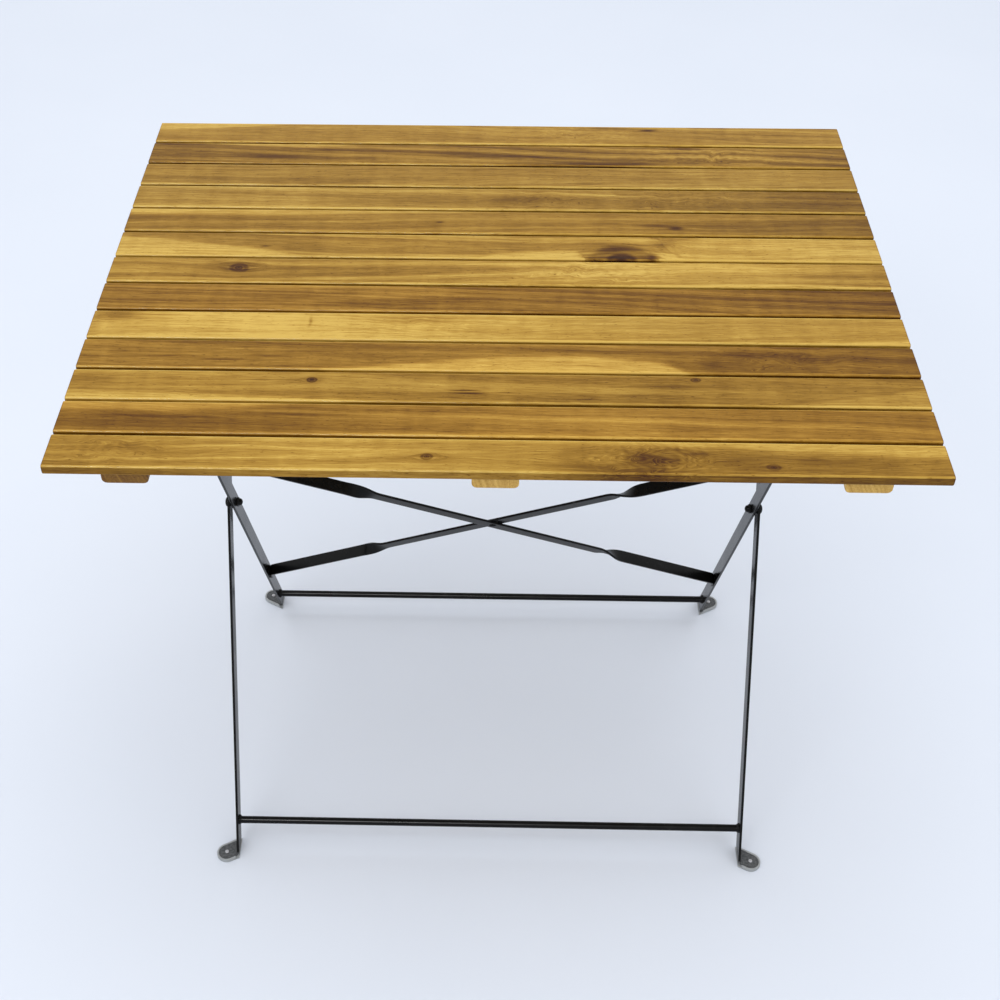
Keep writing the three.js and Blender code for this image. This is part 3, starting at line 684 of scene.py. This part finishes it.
# The boards from the rear of the top to its front.
BOARDS = [
    dict(
        tones=[0.42, 0.42, 0.36, 0.34, 0.44, 0.4], sweep=26, depth=30,
        strips=[("rear", 0.12, [(0, 0.55), (0.12, 0.72), (0.28, 1.1), (0.6, 1.3), (1, 1.2)])],
        marks=[
            (0.57, 0.35, 30, 2.4, 0.16), (0.61, 0.5, 26, 2.2, 0.2), (0.66, 0.9, 40, 3, 0.3),
            (0.72, 0.78, 9, 2.6, 0.6), (0.83, 0.98, 6, 2, 0.4),
        ],
        curls=[(0.62, 0.5, 60, 20, 1)],
    ),
    dict(
        tones=[0.62, 0.6, 0.56, 0.54, 0.46, 0.6], sweep=34, depth=18,
        strips=[("rear", 0.16, [(0, 1.2), (0.07, 0.95), (0.22, 0.8), (0.36, 1.1), (0.8, 1.3), (1, 1.3)])],
        marks=[
            (0.18, 0.35, 46, 5, 0.2), (0.3, 0.3, 26, 4, 0.14), (0.5, 0.42, 50, 3, 0.28),
            (0.63, 0.06, 84, 5, 0.62), (0.68, 0.2, 40, 3, 0.2), (0.77, 0.95, 18, 3.4, 0.45),
            (0.83, 0.5, 34, 4, -0.14),
        ],
        curls=[(0.8, 0.5, 70, 22, 1.1)],
    ),
    dict(tones=[0.38, 0.4, 0.42, 0.4, 0.38, 0.42], tint=(0.98, 1, 1.08), pith=0.2, sweep=-12, depth=34),
    dict(
        tones=[0.36, 0.32, 0.38, 0.42, 0.5, 0.58], tint=(0.98, 1, 1.06), sweep=8, depth=14,
        marks=[(0.54, 0.46, 44, 5, 0.16), (0.63, 0.75, 26, 4, -0.2), (0.93, 0.6, 60, 12, 0.12)],
        curls=[(0.55, 0.5, 60, 18, 0.7), (0.76, 0.5, 80, 20, 0.8)],
    ),
    dict(
        tones=[0.5, 0.46, 0.44, 0.46, 0.5, 0.62], pith=0.8, sweep=-14, depth=26,
        strips=[("rear", 0.14, [(0, 0.68), (0.25, 0.7), (0.37, 0.8), (0.5, 0.94), (0.62, 1.1), (1, 1.3)])],
        marks=[
            (0.42, 0.45, 4, 1.4, 0.5), (0.2, 0.55, 90, 3, 0.16), (0.71, 0.4, 18, 4, 0.3),
            (0.737, 0.3, 8, 3, 0.7), (0.8, 0.4, 40, 6, 0.12),
        ],
    ),
    dict(
        tones=[0.46, 0.46, 0.38, 0.4, 0.22, 0.26], pith=0.6, sweep=10, depth=28,
        strips=[
            ("front", 0.1, [(0, 0.86), (0.09, 0.66), (0.2, 0.3), (0.28, -0.1), (0.6, -0.3), (1, -0.3)]),
            ("front", 0.1, [(0, -0.3), (0.44, -0.1), (0.5, 0.24), (0.6, 0.42), (0.625, -0.2), (1, -0.3)]),
            ("rear", 0.16, [(0, 1.3), (0.68, 1.3), (0.72, 0.6), (0.735, 0.2), (0.8, -0.3), (1, -0.3)]),
        ],
        marks=[
            (0.195, 0.42, 4, 1.3, 0.5), (0.615, 0.1, 7, 7, 0.3), (0.702, 0.12, 6, 9, 0.45),
            (0.718, 0.75, 18, 9, 0.3), (0.74, 0.97, 26, 4, 0.34), (0.63, 0.75, 20, 5, 0.12),
            (0.66, 0.05, 17, 14, 0.46),
        ],
        knots=[(0.66, -0.1, 20, 21, 0.6, 12)],
        curls=[(0.72, 0.5, 26, 20, 1)],
    ),
    dict(
        tones=[0.38, 0.4, 0.34, 0.22, 0.24, 0.4], sweep=-10, depth=22,
        marks=[(0.163, 0.62, 17, 7, 0.26), (0.14, 0.85, 12, 3, 0.14), (0.92, 0.5, 40, 6, 0.12)],
        knots=[(0.168, 0.62, 6.5, 5.4, 0.52, 9)],
        curls=[(0.62, 0.5, 80, 20, 0.9)],
    ),
    dict(
        tones=[0.56, 0.54, 0.56, 0.56, 0.6, 0.68], tint=(1.03, 0.98, 0.94), sweep=30, depth=14,
        marks=[
            (0.26, 0.88, 70, 3, -0.26), (0.27, 0.3, 34, 4, -0.14), (0.34, 0.5, 40, 4.5, -0.18),
            (0.42, 0.7, 44, 4, -0.16), (0.33, 0.2, 46, 2.4, 0.14), (0.43, 0.42, 50, 2.6, 0.14),
            (0.62, 0.5, 90, 5, 0.1),
        ],
    ),
    dict(
        tones=[0.22, 0.08, 0.14, 0.24, 0.28, 0.3], pith=0.3, sweep=-10, depth=30,
        marks=[
            (0.03, 0.8, 26, 7, 0.44), (0.15, 0.25, 60, 4, 0.12), (0.27, 0.62, 1.6, 7, 0.3),
            (0.4, 0.75, 44, 7, 0.22), (0.48, 0.4, 60, 5, 0.12), (0.62, 0.3, 90, 3, 0.1),
        ],
        curls=[(0.42, 0.6, 60, 18, 0.5)],
    ),
    dict(
        tones=[0.5, 0.52, 0.54, 0.52, 0.62, 0.66], tint=(1.02, 0.985, 0.95), sweep=18, depth=20,
        strips=[
            (
                "front", 0.16,
                [
                    (0, -0.3), (0.25, -0.1), (0.32, 0.12), (0.45, 0.44), (0.56, 0.6), (0.66, 0.5), (0.73, 0),
                    (0.76, -0.3), (1, -0.3),
                ],
            ),
        ],
        marks=[
            (0.1, 0.44, 22, 1.4, 0.22), (0.17, 0.34, 22, 1.2, 0.36), (0.23, 0.46, 18, 1.2, 0.3),
            (0.28, 0.66, 18, 1.3, 0.22), (0.42, 0.3, 40, 2, 0.14), (0.79, 0.6, 18, 8, 0.1),
            (0.755, 0.3, 10, 9, 0.12),
        ],
        curls=[(0.84, 0.5, 60, 20, 0.9)],
    ),
    dict(
        tones=[0.48, 0.46, 0.46, 0.48, 0.5, 0.44], pith=0.75, sweep=16, depth=26,
        strips=[
            ("front", 0.12, [(0, 0.32), (0.14, 0.26), (0.28, 0.12), (0.42, -0.1), (0.6, -0.3), (1, -0.3)]),
            ("front", 0.3, [(0, -0.3), (0.66, -0.3), (0.8, 0), (0.9, 0.3), (1, 0.7)]),
        ],
        marks=[
            (0.463, 0.42, 13, 1.1, 0.5), (0.468, 0.32, 15, 1.1, 0.5), (0.51, 0.36, 9, 1, 0.35),
            (0.28, 0.7, 16, 5, 0.14), (0.7, 0.62, 40, 3, 0.2), (0.66, 0.3, 50, 3, 0.16),
        ],
        knots=[(0.283, 0.7, 2.9, 2.5, 0.75, 5), (0.733, 0.84, 3.2, 1.8, 0.6, 4)],
    ),
    dict(
        tones=[0.6, 0.56, 0.46, 0.42, 0.48, 0.54], tint=(1.03, 0.98, 0.94), sweep=22, depth=24,
        strips=[("rear", 0.26, [(0, 0.66), (0.1, 0.68), (0.22, 0.86), (0.33, 1.1), (1, 1.3)])],
        marks=[
            (0.1, 0.52, 50, 2.2, 0.22), (0.27, 0.66, 50, 2.4, 0.26), (0.45, 0.84, 50, 2.2, 0.2),
            (0.62, 0.6, 50, 5, -0.12), (0.72, 0.3, 50, 4, 0.14),
        ],
    ),
    dict(
        tones=[0.42, 0.28, 0.26, 0.34, 0.5, 0.46], pith=0.4, sweep=-8, depth=22,
        strips=[("rear", 0.14, [(0, 1.1), (0.1, 0.95), (0.2, 0.8), (0.6, 0.84), (0.8, 0.74), (1, 0.58)])],
        marks=[
            (0.09, 0.6, 34, 5, 0.24), (0.42, 0.42, 28, 7, 0.18), (0.66, 0.5, 10, 7, 0.2),
            (0.69, 0.4, 12, 5, 0.24), (0.72, 0.62, 12, 3, 0.3), (0.615, 0.5, 16, 6, -0.14),
            (0.6, 0.2, 40, 4, 0.14), (0.8, 0.25, 16, 5, 0.14), (0.672, 0.42, 24, 13, 0.3),
            (0.65, 0.05, 44, 5, 0.4), (0.7, 0.75, 14, 3, 0.24),
        ],
        knots=[(0.425, 0.42, 3.6, 3, 0.5, 7), (0.615, 0.5, 26, 11, 0.12, 9), (0.804, 0.27, 4, 3, 0.36, 5)],
        curls=[(0.675, 0.5, 46, 20, 2.6), (0.07, 0.55, 44, 18, 1)],
    ),
]


def add_slats():
    for number, board in enumerate(BOARDS, 1):
        node = f"slat_{number:02d}"
        lo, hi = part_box(node)
        material = wood(f"wood_{number:02d}", lo, hi, number, **board)
        mesh = plank(lo, hi, 0, 1.9 * MM, 1.4 * MM, wander=0.35 * MM, seed=number - 1)
        show(f"board_{number:02d}", mesh, node, material)


def batten_wood(name, hi, tone):
    """Plainer wood that runs along Y, with only a thin coat."""
    n = Nodes(name)
    offset = (3.1 + tone, 1.7, 0.4)
    x, y, z = n.axes()
    shell = x / MM + n.cloud((12, 3, 12), offset) * 26 + z * 260
    rings = n.noise_along(shell * 0.3, detail=3, roughness=0.6)
    fibres = n.cloud((520, 9, 520), offset, detail=3, roughness=0.6)
    pores = n.cloud((1300, 46, 1300), offset, detail=1)
    end = n.math("GREATER_THAN", n.math("ABSOLUTE", y), hi.y - 1.2 * MM)
    tone = rings * 0.6 + fibres * 0.4 + pores * 0.25 + end * 0.08 + tone
    colour = n.ramp(tone / DARKEST, [(t / DARKEST, shade) for t, shade in WOOD_TONES])
    colour = n.mix(1, colour, (0.87, 0.9, 1.25), "MULTIPLY")
    n.bump(fibres * 0.6 + pores * 0.8, 0.00025, 0.6)
    return n.finish(Base_Color=colour, Roughness=0.58 + fibres * 0.2, Specular_IOR_Level=0.25)


def cross_screw(radius, crown, shank_radius, length):
    """A cross-recess screw that points up +Z, with its head's underside at 0."""
    recess, arm, slot = -crown * 0.42, radius * 0.56, radius * 0.13
    profile = [(0, recess), *[(radius * f, -crown) for f in (0.18, 0.34, 0.5)]]
    profile += [(radius * cos(a), -crown * sin(a)) for a in (1.0, 0.75, 0.45, 0.2, 0)]
    head = [circle(*ring) for ring in profile]
    for point in sum(head, []):
        near, far = sorted((abs(point.x), abs(point.y)))
        if near < slot and far < arm:
            point.z = recess
    shank = [(shank_radius, 0), (shank_radius, length * 0.75), (0, length)]
    return loft(head + [circle(*ring) for ring in shank])


def add_battens(zinc_plate):
    for name in ("left", "center", "right"):
        node = f"batten_{name}"
        lo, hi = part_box(node)
        mesh = plank(lo, hi, 1, 0.9 * MM, 1.2 * MM, seed=4, low_ease=4.5 * MM)
        tone = 0.72 if name == "left" else 0.22
        show(f"rail_{name}", mesh, node, batten_wood(f"batten_wood_{name}", hi, tone))
        screws = []
        for number in range(1, len(BOARDS) + 1):
            x, y = (lo.x + hi.x) / 2, middle_of(f"slat_{number:02d}").y
            if not hidden_by_plate(x, y):
                head = cross_screw(3.4 * MM, 0.7 * MM, 1.6 * MM, 6 * MM)
                screws.append(moved(head, Matrix.Translation((x, y, lo.z))))
        row = show(f"slat_screws_{name}", joined(screws), node, zinc_plate, replaces=False)


def hidden_by_plate(x, y):
    """Whether a bracket or a hook covers this place under a batten."""
    margin = 4 * MM
    for node in ("hinge_bracket_right", "rod_hook_right"):
        lo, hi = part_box(node)
        if lo.x - margin < abs(x) < hi.x + margin and lo.y - margin < y < hi.y + margin:
            return True
    return False


# ---- Hardware under the top ----


def add_brackets(material):
    """Angle brackets: an ear beside each inner leg, bent over to a plate under the batten."""
    lo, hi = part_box("hinge_bracket_right")
    bend, corner, ease = 2.2 * MM, 6 * MM, 0.35 * MM
    ear_radius = HINGE.z - lo.z
    middle = lo.x + PLATE_THICK / 2
    drop = hi.z - PLATE_THICK / 2 - bend - lo.z
    shoulder = drop - 5.5 * MM
    half = (hi.y - lo.y) / 2
    runs = [("line", drop), ("turn", -90, bend), ("line", hi.x - middle - bend)]
    path = Path((middle, lo.z), 90, runs)
    marks = merged_stations(
        rim_steps(ease), rim_steps(ear_radius, 9), [shoulder], path.stations(6 * MM, 8),
        [path.length - m for m in rim_steps(corner, 6) + rim_steps(ease)],
    )
    rows = []
    for mark in marks[1:]:  # the ear's tip has no width
        if mark < ear_radius:
            width = half_chord(ear_radius, ear_radius - mark)
        else:
            widening = (mark - ear_radius) / (shoulder - ear_radius)
            width = ear_radius + (half - ear_radius) * min(1, widening)
        width -= rim_inset(path.length - mark, corner)
        rows.append((mark, -width, width))
    mesh = bent_plate(path, rows, PLATE_THICK, ease, lambda p, across: (p.x, HINGE.y + across, p.y))
    show_pair("bracket", mesh, "hinge_bracket", material)


def add_hooks(material):
    """Strap hooks round the front of the top rod."""
    lo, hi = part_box("rod_hook_right")
    middle_x, half = (lo.x + hi.x) / 2, (hi.x - lo.x) / 2
    rod_y, top = -HINGE.y, hi.z - HOOK_THICK / 2
    loop = rod_y - lo.y - HOOK_THICK / 2
    slant, wrap, bend, corner = 30, 195, 4 * MM, 3 * MM
    sine, cosine = sin(radians(slant)), cos(radians(slant))
    ramp = (top - HINGE.z - loop - 2 * bend * (1 - cosine)) / sine
    flat = hi.y - rod_y - 2 * bend * sine - ramp * cosine
    runs = [
        ("line", flat), ("turn", slant, bend), ("line", ramp), ("turn", -slant, bend), ("turn", wrap, loop)
    ]
    path = Path((hi.y, top), 180, runs)
    ends = rim_steps(corner, 6)
    loop_steps = [path.length - radians(wrap) * loop * i / 20 for i in range(20)]
    both_ends = ends + [path.length - e for e in ends]
    marks = merged_stations(both_ends, path.stations(6 * MM, 8), loop_steps)
    widths = [half - rim_inset(min(mark, path.length - mark), corner) for mark in marks]
    rows = [(mark, -width, width) for mark, width in zip(marks, widths)]
    mesh = bent_plate(path, rows, HOOK_THICK, 0.4 * MM, lambda p, across: (middle_x + across, p.x, p.y))
    show_pair("hook", mesh, "rod_hook", material)


def add_plate_screws(zinc_plate):
    head = 1.8 * MM
    for node in ("bracket_screw_front", "bracket_screw_rear", "hook_screw_front", "hook_screw_rear"):
        lo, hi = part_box(f"{node}_right")
        mesh = cross_screw((hi.x - lo.x) / 2, head, 1.7 * MM, hi.z - lo.z - head)
        x, y, _ = (lo + hi) / 2
        mesh = moved(mesh, Matrix.Translation((x, y, lo.z + head)))
        show_pair(f"pan_{node}", mesh, node, zinc_plate)


def add_washers(node, axis, material):
    lo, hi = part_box(f"{node}_right")
    inner, outer, thickness = BOLT_RADIUS + 0.15 * MM, HEAD_RADIUS, hi.x - lo.x
    ease = thickness * 0.2
    profile = [
        (inner, ease), (inner + ease, 0), (outer - ease, 0), (outer, ease), (outer, thickness - ease),
        (outer - ease, thickness), (inner + ease, thickness), (inner, thickness - ease),
    ]
    mesh = loft([circle(*ring, FINE_SEGMENTS) for ring in profile], closed=True)
    show_pair(f"ring_{node}", outwards(mesh, lo.x, axis), node, material)


def add_hinge_pins(material):
    """Domed pins through the inner legs' top ends and the brackets' ears."""
    lo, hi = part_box("hinge_pin_right")
    head, crown, rim, peen = 5 * MM, 1.4 * MM, 0.6 * MM, 2 * MM
    seat = hi.x - lo.x - crown - rim
    profile = [
        (0, 0), (3 * MM, 0), (3.9 * MM, 0.35 * MM), (4.4 * MM, 1.1 * MM), (4.5 * MM, peen),
        (BOLT_RADIUS, peen), (BOLT_RADIUS, seat), (head - 0.2 * MM, seat), (head, seat + 0.2 * MM),
        *dome(head, seat + rim, crown),
    ]
    show_pair("pin", outwards(turned(profile), lo.x, HINGE), "hinge_pin", material)
    add_washers("hinge_washer", HINGE, material)


# ---- The leg frames ----


def leg_mesh(label):
    """A flat bar, leaning, with a round top end and a foot that is folded outwards."""
    end, way = FEET[label]
    lo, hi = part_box(f"{label}_leg_right")
    peg = middle_of(f"glide_peg_{end}_right")
    half = hi.z - HINGE.z
    bend_inside = 2.6 * MM
    bend = bend_inside + BAR_THICK / 2
    middle_x = lo.x + BAR_THICK / 2
    straight = hi.z - TAB_TOP - bend_inside
    quarter = bend * pi / 2
    disc = straight + quarter + peg.x - middle_x - bend
    runs = [("line", straight), ("turn", 90, bend), ("line", disc + half - straight - quarter)]
    path = Path((middle_x, hi.z), -90, runs)
    slope = tan(LEAN)
    aside = abs(peg.y) + abs(HINGE.y) - slope * (disc - half)

    def extents(mark):
        """The bar's two edges at a distance along it."""
        shift = aside * smoothstep((mark - straight) / quarter)
        edges = []
        for sign in (-1, 1):
            corner = sign * half * sin(LEAN)
            if mark < half - corner:
                edge = sign * half_chord(half, mark - half)
            elif mark > disc - corner:
                edge = slope * (disc - half) + sign * half_chord(half, mark - disc)
            else:
                edge = slope * (mark - half) + sign * half / cos(LEAN)
            edges.append(edge + shift)
        return edges

    arc = [half * (1 - cos(pi * i / 24)) for i in range(25)]
    ease = 0.45 * MM
    ends = arc + rim_steps(ease)
    marks = merged_stations(ends, path.stations(60 * MM, 10), [path.length - e for e in ends])
    tip = 0.04 * MM
    rows = [(mark, *extents(mark)) for mark in marks if tip < mark < path.length - tip]
    return bent_plate(
        path, rows, BAR_THICK, ease, lambda p, across: (p.x, way * (HINGE.y + across), p.y)
    )


def rod_mesh(half, radius, y, z, weld, seed):
    """A round rod along X with a rough weld bead on the inner side of each leg, at weld from the middle."""
    bead, bead_length = 2.3 * MM, 3.2 * MM
    chamfer = 0.8 * MM
    marks = {0.0, half - 0.9 * MM, half - 0.3 * MM, half, weld + 0.05 * MM}
    marks |= {weld - bead_length * step / 8 for step in range(9)}
    right = sorted(mark for mark in marks if mark <= half)
    rings = []
    for mark in [-mark for mark in reversed(right) if mark] + right:
        ring = []
        for i in range(24):
            angle = 2 * pi * i / 24
            reach = radius
            distance = (weld - abs(mark)) / bead_length
            if 0 <= distance <= 1:
                rough = noise.noise((angle * 1.6 + seed, mark * 900, weld * 50))
                reach += bead * sqrt(1 - distance) * (0.8 + 0.35 * rough) * (1 - distance**4)
            if weld < half:
                reach -= max(0, abs(mark) - half + chamfer) * 0.8
            ring.append((mark, y + reach * cos(angle), z + reach * sin(angle)))
        rings.append(ring)
    return loft(rings)


def add_rods(steel):
    for seed, node in enumerate(("rear_stretcher_rod", "front_stretcher_rod", "top_rod")):
        lo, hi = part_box(node)
        middle = (lo + hi) / 2
        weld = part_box("outer_leg_right")[0].x if node == "top_rod" else hi.x
        mesh = rod_mesh(hi.x, (hi.z - lo.z) / 2, middle.y, middle.z, weld, seed * 11.7)
        show(node.replace("_rod", "") + "_tube", mesh, node, steel, crease=50)


def brace_mesh(way):
    """A flat bar across the frame: twisted on edge towards its ends, which are bent along the legs.

    way: -1 for the bar in front, which falls to the right, or 1 for the one behind it.
    """
    tab_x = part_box("brace_bar_front")[1].x - BAR_THICK / 2
    angle = atan(BRACE_SLOPE)
    bend_x = tab_x - BRACE_BEND * (1 - sin(angle))
    turn = 90 - degrees(angle)
    runs = [("line", bend_x / cos(angle)), ("turn", -turn, BRACE_BEND), ("line", BRACE_TAB)]
    path = Path((0, 0), -degrees(angle), runs)
    twist = [(TWIST_START + (TWIST_END - TWIST_START) * i / 20) / cos(angle) for i in range(21)]
    ease, corner = 0.7 * MM, 2.5 * MM
    ends = [path.length - mark for mark in rim_steps(ease) + rim_steps(corner)]
    marks = merged_stations(twist, ends, path.stations(24 * MM, 10), least=0.1 * MM)
    back = Vector((0, 1, 0))
    rings = []
    for mark in [-mark for mark in reversed(marks) if mark] + marks:
        point, left = path.at(abs(mark))
        centre = Vector((point.x, 0, point.y)) * copysign(1, mark) + back * (way * BAR_THICK / 2)
        left = Vector((left.x, 0, left.y))
        progress = (abs(point.x) - TWIST_START) / (TWIST_END - TWIST_START)
        turned_by = way * copysign(pi / 2, mark) * smoothstep(progress)
        wide = left * cos(turned_by) + back * sin(turned_by)
        thick = back * cos(turned_by) - left * sin(turned_by)
        to_end = path.length - abs(mark)
        half_wide = BRACE_WIDTH / 2 - rim_inset(to_end, corner)
        half_thick = BAR_THICK / 2 - rim_inset(to_end, ease)
        outline = rounded_rectangle(-half_wide, half_wide, -half_thick, half_thick, ease)
        rings.append([centre + wide * w + thick * t for w, t in outline])
    return mirrored(loft(rings), -way)


def add_brace(steel, hardware):
    place = Matrix.Translation(middle_of("brace_rivet")) @ Matrix.Rotation(LEAN, 4, "X")
    for name, way in (("front", -1), ("back", 1)):
        mesh = moved(brace_mesh(way), place)
        show(f"strap_{name}", mesh, f"brace_bar_{name}", steel, crease=45)
    head = dome(4.5 * MM, BAR_THICK, 1.6 * MM)
    stem = [(2.5 * MM, -BAR_THICK), (2.5 * MM, BAR_THICK)]
    profile = [(r, -h) for r, h in reversed(head)] + stem + head
    mesh = moved(turned(profile), place @ Matrix.Rotation(pi / 2, 4, "X"))
    show("crossing_rivet", mesh, "brace_rivet", hardware)


def hexagon(corner, limit, height):
    """A hexagon's outline with its corners cut back to a circle of the limit's radius."""
    ring = []
    for i in range(FINE_SEGMENTS):
        angle = 2 * pi * i / FINE_SEGMENTS
        within = (angle + pi / 6) % (pi / 3) - pi / 6
        reach = min(corner * cos(pi / 6) / cos(within), limit)
        ring.append(Vector((reach * cos(angle), reach * sin(angle), height)))
    return ring


def cap_nut_mesh():
    """A hexagon cap nut that points down -Z, with its open face at 0."""
    corner, base, collar, crown = 5.6 * MM, 3.2 * MM, 0.5 * MM, 3.5 * MM
    rings = [hexagon(corner, 5.0 * MM, 0), hexagon(corner, corner, -0.35 * MM)]
    rings += [hexagon(corner, corner, -base + 0.5 * MM), hexagon(corner, 4.9 * MM, -base)]
    rings.append(circle(4.5 * MM, -base - 0.15 * MM, FINE_SEGMENTS))
    rings += [circle(r, -h, FINE_SEGMENTS) for r, h in dome(4.3 * MM, base + collar, crown)]
    return loft(rings)


def add_pivots(hardware):
    """Bolts where the frames cross, with their domed heads outside and their cap nuts inside."""
    lo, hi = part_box("pivot_bolt_right")
    crown, rim = 3 * MM, 0.8 * MM
    seat = hi.x - lo.x - crown - rim
    profile = [
        (0, 0), (BOLT_RADIUS, 0), (BOLT_RADIUS, seat), (HEAD_RADIUS - 0.3 * MM, seat),
        (HEAD_RADIUS, seat + 0.3 * MM), *dome(HEAD_RADIUS, seat + rim, crown, 10),
    ]
    show_pair("bolt", outwards(turned(profile), lo.x, PIVOT), "pivot_bolt", hardware)
    nut = outwards(cap_nut_mesh(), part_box("cap_nut_right")[1].x, PIVOT)
    show_pair("dome_nut", nut, "cap_nut", hardware)
    add_washers("pivot_washer", PIVOT, hardware)


# ---- The feet ----


def add_glides(plastic, peg_plastic):
    """A shallow cup under each foot tab and the peg that holds it."""
    for label, (end, way) in FEET.items():
        leg_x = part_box(f"{label}_leg_right")[0].x
        peg = middle_of(f"glide_peg_{end}_right")
        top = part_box(f"glide_{end}_right")[1].z
        show_pair(f"cup_{end}", glide_mesh(leg_x, peg, way, top), f"glide_{end}", plastic)
        peg_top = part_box(f"glide_peg_{end}_right")[1].z
        stud = moved(peg_mesh(peg_top), Matrix.Translation((peg.x, peg.y, 0)))
        show_pair(f"stud_{end}", stud, f"glide_peg_{end}", peg_plastic)


def peg_mesh(top):
    """A stem through the foot tab with a domed head on it, dimpled in the middle."""
    stem, head, rim = 2.1 * MM, 2.4 * MM, TAB_TOP + 0.5 * MM
    return turned([
        (0, GLIDE_BASE), (stem, GLIDE_BASE), (stem, TAB_TOP), (head - 0.1 * MM, TAB_TOP),
        (head, TAB_TOP + 0.2 * MM), (head, rim), *dome(head, rim, top - rim)[1:6],
        (0.9 * MM, top - 0.25 * MM), (0.75 * MM, top - 0.7 * MM), (0, top - 0.8 * MM),
    ])


def glide_outline(leg_x, peg, way, margin, start):
    """The foot tab's outline grown by a margin, from a line near the leg round the peg and back."""
    along = Vector((cos(LEAN), way * sin(LEAN)))
    across = Vector((-along.y, along.x))
    radius = 10 * MM + margin
    centre = peg.xy
    edges = []
    for sign in (-1, 1):
        far = centre + across * (sign * radius)
        near = far + along * ((leg_x + start - far.x) / along.x)
        edges.append([near.lerp(far, i / 8) for i in range(8)])
    there, back = edges
    arc = []
    for i in range(25):
        angle = -pi / 2 + pi * i / 24
        arc.append(centre + along * (radius * cos(angle)) + across * (radius * sin(angle)))
    closing = [back[0].lerp(there[0], i / 8) for i in range(1, 8)]
    return there + arc + back[::-1] + closing


def glide_mesh(leg_x, peg, way, top):
    """A cup round the foot tab, with a rim that drops to its base where the leg's bar comes down."""
    wall, gap, start = 2.5 * MM, 0.3 * MM, -0.3 * MM
    clear = BAR_THICK + gap
    ease, nick = 0.5 * MM, 0.15 * MM
    layers = [(wall - ease, 0), (wall - nick, nick), (wall, ease), (wall, top - ease)]
    layers += [(wall - nick, top - nick), (wall - ease, top), (gap + ease, top)]
    layers += [(gap, top - 0.3 * MM), (gap, GLIDE_BASE + 0.2 * MM), (gap - 0.4 * MM, GLIDE_BASE)]
    rings = []
    for margin, height in layers:
        low = min(height, GLIDE_BASE + max(0, (height - GLIDE_BASE) * 0.02))
        ring = []
        for point in glide_outline(leg_x, peg, way, margin, start + (wall - margin) * 0.6):
            room = (point.x - leg_x - clear) / (1.2 * MM)
            ring.append(Vector((*point, low + (height - low) * smoothstep(room))))
        rings.append(ring)
    return loft(rings)


# ---- Putting it together ----


def add_floor():
    bpy.ops.mesh.primitive_plane_add(size=16)
    floor = bpy.context.object
    floor.name = "floor"
    floor.data.materials.append(pale_floor())


def main():
    add_camera()
    add_light()
    add_floor()
    steel = coated_steel("black_steel", 0.24)
    hardware = coated_steel("black_hardware", 0.2, 0.00003)
    zinc_plate = zinc()
    add_slats()
    add_battens(zinc_plate)
    add_brackets(hardware)
    add_hooks(hardware)
    add_plate_screws(zinc_plate)
    add_hinge_pins(hardware)
    for label in FEET:
        show_pair(f"bar_{label}", leg_mesh(label), f"{label}_leg", steel)
    add_rods(steel)
    add_brace(steel, hardware)
    add_pivots(hardware)
    add_glides(
        cloudy_plastic("glide_plastic", (0.40, 0.42, 0.43), (0.54, 0.56, 0.57), 0.35),
        cloudy_plastic("peg_plastic", (0.38, 0.38, 0.40), (0.46, 0.46, 0.48), 0.0),
    )


main()
bpy.context.view_layer.update()
